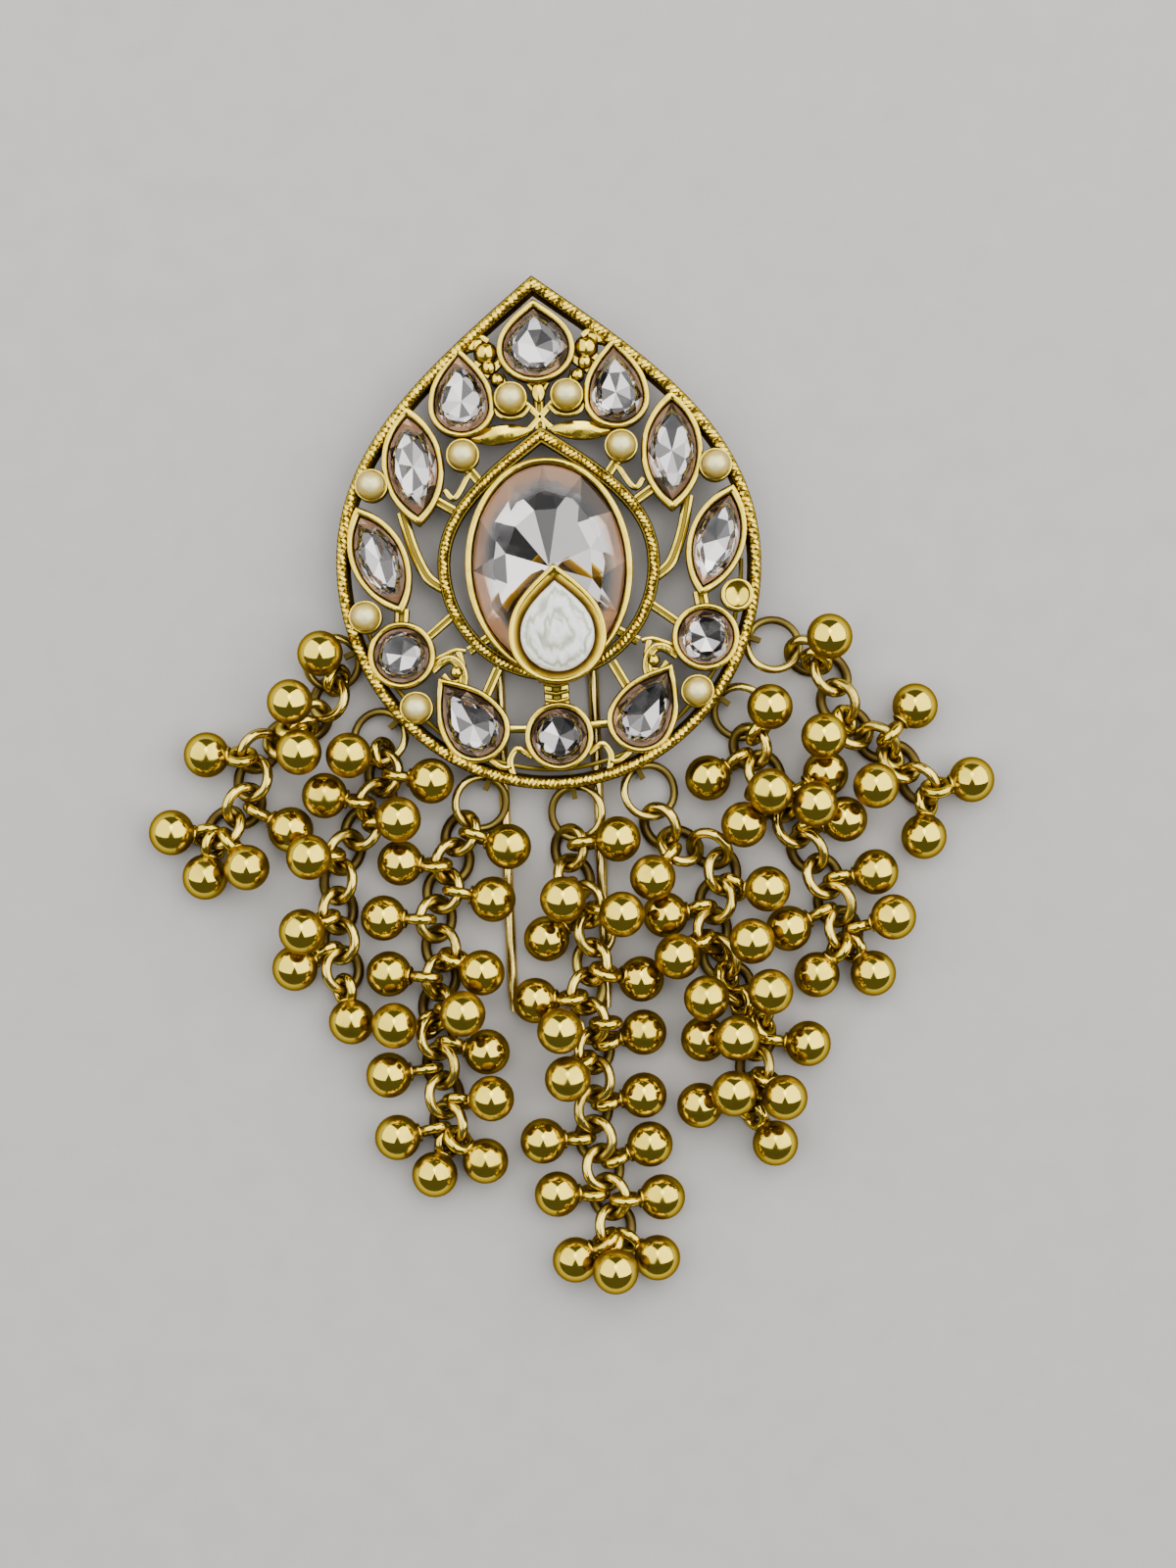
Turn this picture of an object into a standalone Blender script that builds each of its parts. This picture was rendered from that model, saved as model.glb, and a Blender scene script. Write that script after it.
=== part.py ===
"""Hair brooch: a pierced teardrop plaque set with stones, a U pin, and a fringe of ball drops.

The brooch lies flat, pin and fringe on the surface, with the plaque's point towards +Y.
Plan places are measured from the centre of the big oval stone until the last step, which
brings the middle of the whole brooch over the origin.
"""
import math
from collections import namedtuple

import bmesh
import bpy
import numpy as np
from mathutils import Matrix, Vector

MM = 0.001

# Gap kept between pieces that touch on the real brooch
SEAT_GAP = 0.3 * MM

# Hair pin
PIN_WIRE = 0.9 * MM
PIN_LEG_SPACING = 8.25 * MM
PIN_LENGTH = 45.0 * MM
PIN_BOW_TOP = 6.4 * MM
PIN_SHIFT = -0.75 * MM
PIN_LEAN = math.radians(2.5)
PIN_PAD_WIDTH = 5.0 * MM
PIN_PAD_LENGTH = 2.6 * MM

# Wire of the chains, their rim rings, the drop eyes and the balls
RING_OUTER = 4.4 * MM
RING_WIRE = 0.9 * MM
RIM_RING_OUTER = 5.4 * MM
RIM_RING_WIRE = 0.8 * MM
EYE_OUTER = 2.9 * MM
EYE_WIRE = 0.8 * MM
EYE_SINK = 0.2 * MM
BALL_DIAMETER = 4.0 * MM
STEM_DIAMETER = 1.1 * MM

# Staples under the rim that hold the rim rings
STAPLE_WIRE = 0.45 * MM
STAPLE_LIFT = 0.3 * MM
STAPLE_DEPTH = 0.1 * MM

# Plaque
PLAQUE_LEAN = math.radians(3.5)
PLAQUE_HALF_WIDTH = 18.5 * MM
PLAQUE_RISE = 25.1 * MM
PLAQUE_FALL = 19.7 * MM
RIM_WIDTH = 1.2 * MM
RIM_HEIGHT = 2.4 * MM
ROPE_HEIGHT = 0.9 * MM
INNER_RING_WIDTH = 1.1 * MM
INNER_RING_HEIGHT = 2.0 * MM

# Settings: closed cups of sheet metal with a flat-backed stone in each
SETTING_HEIGHT = 2.3 * MM
SETTING_WALL = 0.5 * MM
SETTING_FLOOR = 0.8 * MM
GIRDLE_HEIGHT = 0.7 * MM
CROWN_HEIGHT = 1.1 * MM
OVAL_HEIGHT = 2.8 * MM
OVAL_WALL = 0.6 * MM
OVAL_GIRDLE = 1.3 * MM
OVAL_CROWN = 0.9 * MM
CUP_HEIGHT = 1.9 * MM
CUP_WALL = 0.7 * MM
CUP_FLOOR = 0.5 * MM
CUP_FOOT_WIDTH = 3.0 * MM
POLKI_HEIGHT = 1.5 * MM

# Pearl cups
PEARL_DIAMETER = 2.6 * MM
PEARL_HEIGHT = 1.5 * MM
PEARL_CUP_DIAMETER = 2.9 * MM
PEARL_CUP_WALL = 0.4 * MM
PEARL_CUP_DEPTH = 0.7 * MM

# Struts, leaves and grains between the settings
STRUT_LIFT = 0.25 * MM
STRUT_HEIGHT = 1.3 * MM
GRAIN_HEIGHT = 2.0 * MM

# Sides of the faceted round forms
RIM_SIDES = 40
INNER_RING_SIDES = 28
OVAL_SIDES = 24
CUP_SIDES = 16
SETTING_SIDES = 16
PEARL_SIDES = 10
BALL_SIDES = 10
WIRE_SIDES = 5
RING_SIDES = 10

# Heights above the surface, worked out from the sizes above
BACK = STAPLE_LIFT + STAPLE_WIRE + RIM_RING_WIRE + 2 * SEAT_GAP
PEARL_CUP_TOP = BACK + RIM_HEIGHT + 0.05 * MM
RIM_RING_LEVEL = STAPLE_LIFT + STAPLE_WIRE + SEAT_GAP + RIM_RING_WIRE / 2
PIN_LEVEL = PIN_WIRE / 2
OVAL_TABLE = BACK + SETTING_FLOOR + SEAT_GAP + OVAL_GIRDLE + OVAL_CROWN
CUP_BOTTOM = OVAL_TABLE + SEAT_GAP

# The openwork is drawn on a plaque 18.5 units from its middle to its side, 25.1 up to its
# point and 19.7 down, and stretched from there to the plaque's real size
UNIT_ACROSS = PLAQUE_HALF_WIDTH / 18.5
UNIT_UP = PLAQUE_RISE / 25.1
UNIT_DOWN = PLAQUE_FALL / 19.7

# How the links and drops fit into each other
RING_RADIUS = (RING_OUTER - RING_WIRE) / 2
RIM_RING_RADIUS = (RIM_RING_OUTER - RIM_RING_WIRE) / 2
EYE_RADIUS = (EYE_OUTER - EYE_WIRE) / 2
RING_PITCH = RING_OUTER - 2 * RING_WIRE
FIRST_PITCH = RIM_RING_RADIUS + RING_RADIUS - (RIM_RING_WIRE + RING_WIRE) / 2
DROP_REACH = RING_RADIUS + EYE_RADIUS + BALL_DIAMETER / 2 - EYE_SINK
CHAIN_GIRTH = (RING_OUTER - RING_WIRE) * math.cos(math.radians(45)) + RING_WIRE
CHAIN_SLOPE = 0.5

# Shoulders of a drop outline: the point's handle across and along, and the side's handle
SHOULDER = (0.52, 0.70, 0.44)

# Colours: base colour, roughness, metallic
GOLD = ((0.78, 0.56, 0.20), 0.28, 1.0)
CHAIN_GOLD = ((0.66, 0.48, 0.19), 0.30, 1.0)
CLEAR_STONE = ((0.86, 0.82, 0.78), 0.05, 0.0)
MILKY_STONE = ((0.90, 0.90, 0.86), 0.25, 0.0)
PEARL = ((0.93, 0.89, 0.78), 0.20, 0.0)

# Settings of the openwork, in its units and degrees. The small ones away from the middle are
# made twice, mirrored. turn leans the point outwards.
Setting = namedtuple("Setting", "name shape across along turn half_width rise fall")
SETTINGS = (
    Setting("top_drop_stone", "drop", 0.0, 18.7, 0, 3.4, 4.3, 3.0),
    Setting("upper_drop_stone", "drop", 6.75, 14.0, 0, 2.9, 5.2, 2.7),
    Setting("upper_navette_stone", "navette", 11.3, 9.1, 3, 2.7, 5.25, 5.25),
    Setting("lower_navette_stone", "navette", 14.7, 1.1, 20, 2.5, 5.1, 5.1),
    Setting("side_round_stone", "oval", 13.25, -7.25, 0, 2.95, 2.95, 2.95),
    Setting("lower_drop_stone", "drop", 7.15, -14.1, 33, 2.95, 5.6, 2.9),
    Setting("bottom_round_stone", "oval", 0.0, -15.1, 0, 3.0, 3.0, 3.0),
)
OVAL_SETTING = Setting("oval_stone", "oval", 0.0, -0.3, 0, 7.3, 9.5, 9.5)
CUP_SETTING = Setting("kundan_stone", "drop", 0.4, -6.4, 0, 4.25, 6.2, 4.2)
INNER_RING = Setting("", "drop", 0.0, 0.0, 0, 9.7, 12.0, 10.2)

# Pearl cups, mirrored: across and along. The last pearl on the right is missing.
PearlPlace = namedtuple("PearlPlace", "across along right_is_empty")
PEARL_PLACES = (
    PearlPlace(2.45, 14.5, False),
    PearlPlace(6.9, 9.8, False),
    PearlPlace(15.0, 7.65, False),
    PearlPlace(16.2, -3.75, True),
    PearlPlace(12.25, -11.9, False),
)

# Flat bars of the openwork, mirrored: width, then the points that the bar runs through, all
# in its units
Bar = namedtuple("Bar", "width points")
BARS = (
    Bar(1.0, ((0.0, 15.95), (0.0, 11.2))),
    Bar(0.6, ((-1.5, 14.3), (1.4, 11.4))),
    Bar(2.0, ((3.4, 18.4), (4.9, 17.1))),
    Bar(1.1, ((3.4, 16.6), (2.4, 13.6))),
    Bar(0.9, ((6.6, 8.8), (5.7, 7.6))),
    Bar(0.5, ((6.4, 8.3), (7.8, 6.2), (8.7, 6.9))),
    Bar(0.9, ((9.4, 6.0), (7.7, 4.9))),
    Bar(0.8, ((12.5, 5.2), (11.9, 2.6), (11.2, 0.6), (10.4, -0.8), (9.0, -1.8))),
    Bar(1.3, ((13.0, -3.2), (13.2, -4.65))),
    Bar(0.8, ((8.6, -4.0), (10.9, -5.8))),
    Bar(0.6, ((9.4, -6.0), (8.2, -7.6), (8.0, -9.2), (9.0, -9.9), (9.8, -9.2))),
    Bar(0.9, ((5.0, -8.9), (6.25, -11.3))),
    Bar(0.9, ((5.7, -6.2), (7.4, -7.2))),
    Bar(2.2, ((0.0, -9.4), (0.0, -12.4))),
    Bar(0.7, ((2.7, -14.3), (4.6, -14.2))),
    Bar(0.6, ((2.5, -16.7), (3.7, -16.0), (4.4, -16.9), (4.2, -18.4))),
)

# Leaves: flat lozenges between two tips, mirrored
Leaf = namedtuple("Leaf", "half_width start end")
LEAVES = (
    Leaf(0.75, (0.6, 11.7), (6.4, 11.2)),
    Leaf(0.8, (4.4, 20.3), (6.6, 19.0)),
    Leaf(0.6, (0.0, 15.9), (0.0, 13.9)),
)

# Grains: small raised beads, mirrored
Grain = namedtuple("Grain", "radius across along")
GRAINS = (
    Grain(1.05, 4.4, 18.6),
    Grain(0.65, 4.2, 17.3),
    Grain(0.6, 3.5, 16.2),
    Grain(0.55, 8.6, -9.0),
)

# Chains, left to right as they lie: where the staple sits on the rim (degrees round the oval's
# centre), the route from the rim ring's centre, and the drops as (ring number, bearing).
# Bearings are degrees from +X. Drops in "under" lie on the surface, "over" ones on top of them.
Strand = namedtuple("Strand", "name rim_angle route under over")
STRANDS = (
    Strand("strand_far_left", 204.5,
           ((-0.3, -3.2), (-3.4, -6.2), (-6.8, -8.1), (-7.1, -11.5), (-9.7, -14.7)),
           ((3, 80), (6, 333)),
           ((1, 100), (4, 184), (2, 255), (7, 185), (7, 249), (7, 302))),
    Strand("strand_left", 226.0,
           ((0.3, -3.8), (-1.1, -7.2), (-3.4, -11.0), (-3.6, -16.2), (-3.2, -20.9)),
           ((3, 13), (2, 173), (7, 212)),
           ((1, 152), (1, 343), (4, 187), (6, 210), (8, 280))),
    Strand("strand_inner_left", 254.5,
           ((-1.8, -2.8), (-2.5, -5.4), (-3.9, -10.1), (-3.3, -13.9), (-3.9, -18.6),
            (-3.5, -22.9), (-2.8, -28.1)),
           ((5, 330), (7, 350)),
           ((1, 345), (3, 350), (2, 181), (4, 179), (6, 176), (7, 203), (9, 190),
            (8, 343), (10, 358), (11, 315), (11, 255), (11, 195))),
    Strand("strand_centre", 276.2,
           ((-0.6, -4.4), (1.6, -10.4), (0.9, -15.6), (1.6, -21.5), (1.5, -27.5),
            (2.6, -32.2), (3.4, -36.2)),
           ((3, 322), (6, 190), (8, 225), (5, 341), (12, 27)),
           ((1, 11), (2, 292), (3, 229), (7, 211), (8, 20), (10, 16), (11, 182),
            (13, 177), (13, 0), (14, 220), (14, 270), (14, 315))),
    Strand("strand_inner_right", 293.5,
           ((1.8, -4.4), (6.3, -5.7), (5.5, -11.5), (6.5, -15.4), (9.1, -19.2),
            (9.2, -24.4), (8.9, -27.0)),
           ((5, 196), (6, 216), (10, 182), (12, 190), (12, 297), (8, 349)),
           ((2, 228), (7, 226), (9, 224), (11, 228), (11, 299), (10, 353), (6, 345), (4, 339))),
    Strand("strand_right", 322.0,
           ((0.9, -3.1), (3.2, -7.1), (5.1, -10.9), (7.5, -14.8), (9.1, -19.1)),
           ((3, 215), (3, 29), (3, 351), (6, 5), (7, 208)),
           ((1, 65), (1, 216), (2, 297), (4, 331), (8, 15), (8, 304), (8, 239))),
    Strand("strand_far_right", 340.0,
           ((2.9, -0.9), (5.3, -2.9), (6.2, -6.6), (9.9, -9.1), (12.9, -12.3)),
           (),
           ((2, 95), (3, 245), (5, 266), (5, 44), (7, 5), (7, 275))),
)


def clear_scene():
    for old in list(bpy.data.objects):
        bpy.data.objects.remove(old, do_unlink=True)


def make_material(name, look):
    colour, roughness, metallic = look
    material = bpy.data.materials.new(name)
    material.use_nodes = True
    shader = material.node_tree.nodes["Principled BSDF"]
    shader.inputs["Base Color"].default_value = (*colour, 1.0)
    shader.inputs["Roughness"].default_value = roughness
    shader.inputs["Metallic"].default_value = metallic
    return material


def add_object(name, bm, look, parent):
    """Turn a bmesh into a named object with its own material, under its parent empty."""
    bmesh.ops.recalc_face_normals(bm, faces=bm.faces)
    mesh = bpy.data.meshes.new(name)
    bm.to_mesh(mesh)
    bm.free()
    thing = bpy.data.objects.new(name, mesh)
    bpy.context.collection.objects.link(thing)
    mesh.materials.append(make_material(name, look))
    thing.parent = parent
    return thing


def fuse(body, helper):
    """Union a body with a helper mesh of overlapping closed shells."""
    helper.hide_render = True
    helper.display_type = "WIRE"
    union = body.modifiers.new("fused", "BOOLEAN")
    union.operation = "UNION"
    union.solver = "EXACT"
    union.use_self = True
    union.object = helper


def bezier(start, handle_1, handle_2, end, share):
    rest = 1 - share
    weights = (rest ** 3, 3 * rest ** 2 * share, 3 * rest * share ** 2, share ** 3)
    points = (start, handle_1, handle_2, end)
    return tuple(sum(w * p[axis] for w, p in zip(weights, points)) for axis in (0, 1))


def drop_outline(half_width, rise, fall, sides):
    """A teardrop round its widest line, point up, anticlockwise from its right side."""
    across, along, side = SHOULDER
    handles = ((half_width * across, rise * along), (half_width, rise * side))
    quarter = sides // 4
    right = [bezier((half_width, 0), handles[1], handles[0], (0, rise), step / quarter)
             for step in range(quarter)]
    left = [(-x, y) for x, y in [(0, rise)] + right[:0:-1]]
    turns = [math.pi + math.pi * step / (sides // 2) for step in range(sides // 2)]
    below = [(half_width * math.cos(turn), fall * math.sin(turn)) for turn in turns]
    return right + left + below


def navette_outline(half_width, rise, fall, sides):
    """Two equal arcs that meet in a point at each end."""
    radius = (rise ** 2 + half_width ** 2) / (2 * half_width)
    spread = math.asin(rise / radius)
    half = sides // 2
    turns = [spread * (2 * step / half - 1) for step in range(half)]
    right = [(radius * math.cos(turn) - radius + half_width, radius * math.sin(turn))
             for turn in turns]
    return right + [(-x, -y) for x, y in right]


def oval_outline(half_width, rise, fall, sides):
    turns = [2 * math.pi * step / sides for step in range(sides)]
    return [(half_width * math.cos(turn), rise * math.sin(turn)) for turn in turns]


OUTLINES = {"drop": drop_outline, "navette": navette_outline, "oval": oval_outline}


def outline(setting, inset, sides):
    """The setting's outline, drawn in by an inset; points are drawn in further than sides."""
    point_share = {"drop": 1.4, "navette": 1.7, "oval": 1.0}[setting.shape]
    fall_share = {"drop": 1.0, "navette": 1.7, "oval": 1.0}[setting.shape]
    inset = inset / MM
    return OUTLINES[setting.shape](setting.half_width - inset, setting.rise - inset * point_share,
                                   setting.fall - inset * fall_share, sides)


def spot(across, along):
    """From the drawing's units to metres in the plaque's own frame."""
    return across * UNIT_ACROSS, along * (UNIT_UP if along > 0 else UNIT_DOWN)


def placed(points, setting, side):
    """Turn and move an outline to its setting's place, on the left or right side."""
    turn = -math.radians(setting.turn)
    moved = []
    for x, y in points:
        across = x * math.cos(turn) - y * math.sin(turn) + setting.across
        along = x * math.sin(turn) + y * math.cos(turn) + setting.along
        moved.append(spot(side * across, along))
    return moved


def disc(middle, radius, sides):
    return [(middle[0] + x, middle[1] + y) for x, y in oval_outline(radius, radius, radius, sides)]


def lift(points, height):
    return [Vector((x, y, height)) for x, y in points]


def shrink(points, share):
    """Draw an outline in towards its middle."""
    middle = sum((Vector(p) for p in points), Vector((0, 0))) / len(points)
    return [tuple(middle + (Vector(p) - middle) * share) for p in points]


def stack(bm, loops, ring=False):
    """Skin a row of loops with equal counts; a ring joins the last to the first."""
    rows = [[bm.verts.new(point) for point in loop] for loop in loops]
    count = len(rows[0])
    pairs = list(zip(rows, rows[1:]))
    if ring:
        pairs.append((rows[-1], rows[0]))
    for lower, upper in pairs:
        for i in range(count):
            j = (i + 1) % count
            bm.faces.new((lower[i], lower[j], upper[j], upper[i]))
    if not ring:
        bm.faces.new(rows[0][::-1])
        bm.faces.new(rows[-1])


def band(bm, outline_at, profile):
    """A closed band: outline_at(inset) gives its plan, profile is a row of (inset, height)."""
    stack(bm, [lift(outline_at(inset), height) for inset, height in profile], ring=True)


def bowl(bm, outer, inner, bottom, floor, top):
    """A closed cup: outer wall, flat lip, inner wall and floor."""
    stack(bm, [lift(outer, bottom), lift(outer, top), lift(inner, top), lift(inner, floor)])


def bar(bm, points, width, bottom, top):
    """A flat bar through plan points, with square ends."""
    path = [Vector(point) for point in points]
    loops = []
    for i, point in enumerate(path):
        ahead = (path[min(i + 1, len(path) - 1)] - path[max(i - 1, 0)]).normalized()
        aside = Vector((-ahead.y, ahead.x)) * width / 2
        left, right = point + aside, point - aside
        loops.append([Vector((*left, bottom)), Vector((*right, bottom)),
                      Vector((*right, top)), Vector((*left, top))])
    stack(bm, loops)


def leaf(bm, start, end, half_width, bottom, top):
    """A lozenge with a raised middle rib."""
    start, end = Vector(start), Vector(end)
    ahead = end - start
    aside = Vector((-ahead.y, ahead.x)).normalized() * half_width
    plan = [start, start + ahead * 0.5 - aside, end, start + ahead * 0.5 + aside]
    stack(bm, [lift(plan, bottom), lift(plan, top), lift(shrink(plan, 0.35), top + MM * 0.3)])


def grain(bm, place, radius, bottom, top, sides=6):
    """A small round bead on a short post."""
    plan = [(place[0] + radius * math.cos(2 * math.pi * i / sides),
             place[1] + radius * math.sin(2 * math.pi * i / sides)) for i in range(sides)]
    shoulder = top - radius * 0.6
    stack(bm, [lift(plan, bottom), lift(plan, shoulder), lift(shrink(plan, 0.55), top)])


def link(bm, centre, radius, wire, sides=RING_SIDES):
    """A flat round link of wire."""
    loops = []
    for i in range(sides):
        turn = 2 * math.pi * i / sides
        out = Vector((math.cos(turn), math.sin(turn), 0))
        loop = []
        for j in range(WIRE_SIDES):
            roll = 2 * math.pi * j / WIRE_SIDES
            reach = radius + wire / 2 * math.cos(roll)
            loop.append(centre + out * reach + Vector((0, 0, wire / 2 * math.sin(roll))))
        loops.append(loop)
    stack(bm, loops, ring=True)


def rim_plan(inset):
    return drop_outline(PLAQUE_HALF_WIDTH - inset, PLAQUE_RISE - inset * 1.4,
                        PLAQUE_FALL - inset, RIM_SIDES)


def rim_point(angle):
    """Where a ray from the oval's centre meets the rim's outer edge, with the outward way."""
    edge = [Vector(p) for p in rim_plan(0)]
    ray = Matrix.Rotation(angle - PLAQUE_LEAN, 2) @ Vector((1, 0))
    for start, end in zip(edge, edge[1:] + edge[:1]):
        run = end - start
        cross = run.x * ray.y - run.y * ray.x
        share = (start.y * ray.x - start.x * ray.y) / cross if cross else -1
        point = start + run * share
        if 0 <= share < 1 and point.dot(ray) > 0:
            outward = Vector((run.y, -run.x)).normalized()
            turn = Matrix.Rotation(PLAQUE_LEAN, 2)
            return turn @ point, turn @ outward
    raise ValueError("no rim at this angle")


def staple(bm, strand):
    """A square loop under the rim's edge; the rim ring passes through it, along the rim."""
    point, outward = rim_point(math.radians(strand.rim_angle))
    back_turn = Matrix.Rotation(-PLAQUE_LEAN, 2)
    point, outward = back_turn @ point, back_turn @ outward
    along = Vector((-outward.y, outward.x)) * STAPLE_WIRE / 2
    inner = STAPLE_DEPTH + RIM_RING_WIRE / 2 + SEAT_GAP
    outer = STAPLE_DEPTH - RIM_RING_WIRE / 2 - SEAT_GAP
    low, high = STAPLE_LIFT, BACK + 0.05 * MM
    shape = ((outer - STAPLE_WIRE, low), (inner + STAPLE_WIRE, low),
             (inner + STAPLE_WIRE, high + STAPLE_WIRE), (inner, high + STAPLE_WIRE),
             (inner, low + STAPLE_WIRE), (outer, low + STAPLE_WIRE), (outer, high),
             (RIM_WIDTH / 3, high), (outer - STAPLE_WIRE, high + STAPLE_WIRE))
    loops = []
    for shift in (-along, along):
        loops.append([Vector((*(point - outward * depth + shift), height))
                      for depth, height in shape])
    stack(bm, loops)


def build_plaque(parent):
    """The rim, then everything soldered inside it, fused into one solid."""
    rope_foot = BACK + RIM_HEIGHT - ROPE_HEIGHT
    top = BACK + RIM_HEIGHT
    rim = bmesh.new()
    band(rim, rim_plan, (
        (0.0, BACK), (0.0, rope_foot + ROPE_HEIGHT / 2), (RIM_WIDTH / 3, top),
        (RIM_WIDTH * 0.7, top), (RIM_WIDTH, rope_foot + ROPE_HEIGHT / 4), (RIM_WIDTH, BACK)))
    plaque = add_object("plaque", rim, GOLD, parent)

    rest = bmesh.new()

    def inner_plan(inset):
        return placed(outline(INNER_RING, inset, INNER_RING_SIDES), INNER_RING, 1)

    ring_top = BACK + INNER_RING_HEIGHT
    band(rest, inner_plan, (
        (0.0, BACK + 0.1 * MM), (INNER_RING_WIDTH * 0.2, ring_top),
        (INNER_RING_WIDTH * 0.8, ring_top), (INNER_RING_WIDTH, BACK + 0.1 * MM)))

    for setting in SETTINGS:
        for side in sides_of(setting.across):
            outer = placed(outline(setting, 0.0, SETTING_SIDES), setting, side)
            inner = placed(outline(setting, SETTING_WALL, SETTING_SIDES), setting, side)
            bowl(rest, outer, inner, BACK, BACK + SETTING_FLOOR, BACK + SETTING_HEIGHT)

    oval = OVAL_SETTING
    bowl(rest, placed(outline(oval, 0.0, OVAL_SIDES), oval, 1),
         placed(outline(oval, OVAL_WALL, OVAL_SIDES), oval, 1),
         BACK, BACK + SETTING_FLOOR, BACK + OVAL_HEIGHT)

    cup = CUP_SETTING
    bowl(rest, placed(outline(cup, 0.0, CUP_SIDES), cup, 1),
         placed(outline(cup, CUP_WALL, CUP_SIDES), cup, 1),
         CUP_BOTTOM, CUP_BOTTOM + CUP_FLOOR, CUP_BOTTOM + CUP_HEIGHT)
    foot = spot(0, oval.along - oval.fall)[1]
    bar(rest, ((0, foot + OVAL_WALL), (0, foot - OVAL_WALL)), CUP_FOOT_WIDTH,
        BACK + STRUT_HEIGHT, CUP_BOTTOM + CUP_FLOOR / 2)

    for place in PEARL_PLACES:
        for side in (-1, 1):
            middle = spot(side * place.across, place.along)
            outer = disc(middle, PEARL_CUP_DIAMETER / 2, PEARL_SIDES)
            low, high = BACK + 0.1 * MM, PEARL_CUP_TOP
            if side > 0 and place.right_is_empty:
                inner = disc(middle, PEARL_CUP_DIAMETER / 2 - PEARL_CUP_WALL, PEARL_SIDES)
                bowl(rest, outer, inner, low, high - PEARL_CUP_DEPTH, high)
            else:
                stack(rest, [lift(outer, low), lift(outer, high)])

    low, high = BACK + STRUT_LIFT, BACK + STRUT_HEIGHT
    for piece in BARS:
        flat = all(x == 0 for x, _ in piece.points)
        for side in ((1,) if flat else (-1, 1)):
            points = [spot(side * x, y) for x, y in piece.points]
            bar(rest, points, piece.width * UNIT_ACROSS, low, high)
    for piece in LEAVES:
        for side in sides_of(piece.start[0] + piece.end[0]):
            ends = [spot(side * x, y) for x, y in (piece.start, piece.end)]
            leaf(rest, *ends, piece.half_width * UNIT_ACROSS, low + 0.1 * MM, high + 0.2 * MM)
    for piece in GRAINS:
        for side in (-1, 1):
            grain(rest, spot(side * piece.across, piece.along), piece.radius * UNIT_ACROSS,
                  low + 0.2 * MM, BACK + GRAIN_HEIGHT)
    for strand in STRANDS:
        staple(rest, strand)

    bow = pin_place((0, PIN_LEG_SPACING / 2 + PIN_WIRE - PIN_PAD_LENGTH / 2))
    bow = Matrix.Rotation(-PLAQUE_LEAN, 2) @ bow
    half = Vector((0, PIN_PAD_LENGTH / 2))
    bar(rest, (bow - half, bow + half), PIN_PAD_WIDTH, PIN_WIRE + SEAT_GAP, BACK + STRUT_LIFT)

    fuse(plaque, add_object("plaque_pieces", rest, GOLD, parent))


def sides_of(across):
    """Both sides for what stands off the middle line, one for what stands on it."""
    return (-1, 1) if across else (1,)


def side_name(name, across, side):
    return name if not across else name + ("_left" if side < 0 else "_right")


def cut_stone(bm, plan, bottom, girdle, table):
    """A flat-backed cut stone: eight-sided table, star, kite and girdle facets."""
    count = len(plan)
    step = count // 8
    middle = shrink(plan, 0.80)
    star = [middle[(step * i + step // 2) % count] for i in range(8)]
    flat = shrink([plan[step * i] for i in range(8)], 0.55)
    base = [bm.verts.new(p) for p in lift(plan, bottom)]
    edge = [bm.verts.new(p) for p in lift(plan, girdle)]
    mids = [bm.verts.new(p) for p in lift(star, girdle + (table - girdle) * 0.55)]
    tops = [bm.verts.new(p) for p in lift(flat, table)]
    bm.faces.new(base[::-1])
    bm.faces.new(tops)
    for i in range(count):
        j = (i + 1) % count
        bm.faces.new((base[i], base[j], edge[j], edge[i]))
    for i in range(8):
        j = (i + 1) % 8
        first, half, last = step * i, step * i + step // 2, (step * i + step) % count
        bm.faces.new((tops[i], mids[i], tops[j]))
        for k in range(first, half):
            bm.faces.new((mids[i], edge[k], edge[k + 1]))
        for k in range(half, step * i + step):
            bm.faces.new((mids[i], edge[k], edge[(k + 1) % count]))
        bm.faces.new((tops[j], mids[i], edge[last]))
        bm.faces.new((tops[j], edge[last], mids[j]))


def build_stones(parent):
    for setting in SETTINGS:
        for side in sides_of(setting.across):
            plan = placed(outline(setting, SETTING_WALL + SEAT_GAP, SETTING_SIDES), setting, side)
            if side < 0:
                plan.reverse()
            stone = bmesh.new()
            bottom = BACK + SETTING_FLOOR + SEAT_GAP
            girdle = bottom + GIRDLE_HEIGHT
            cut_stone(stone, plan, bottom, girdle, girdle + CROWN_HEIGHT)
            add_object(side_name(setting.name, setting.across, side), stone, CLEAR_STONE, parent)

    plan = placed(outline(OVAL_SETTING, OVAL_WALL + SEAT_GAP, OVAL_SIDES), OVAL_SETTING, 1)
    stone = bmesh.new()
    bottom = BACK + SETTING_FLOOR + SEAT_GAP
    girdle = bottom + OVAL_GIRDLE
    cut_stone(stone, plan, bottom, girdle, girdle + OVAL_CROWN)
    add_object(OVAL_SETTING.name, stone, CLEAR_STONE, parent)

    plan = placed(outline(CUP_SETTING, CUP_WALL + SEAT_GAP, CUP_SIDES), CUP_SETTING, 1)
    foot = CUP_BOTTOM + CUP_FLOOR + SEAT_GAP
    stone = bmesh.new()
    stack(stone, [lift(plan, foot), lift(plan, foot + POLKI_HEIGHT * 0.6),
                  lift(shrink(plan, 0.7), foot + POLKI_HEIGHT)])
    add_object(CUP_SETTING.name, stone, MILKY_STONE, parent)


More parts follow.
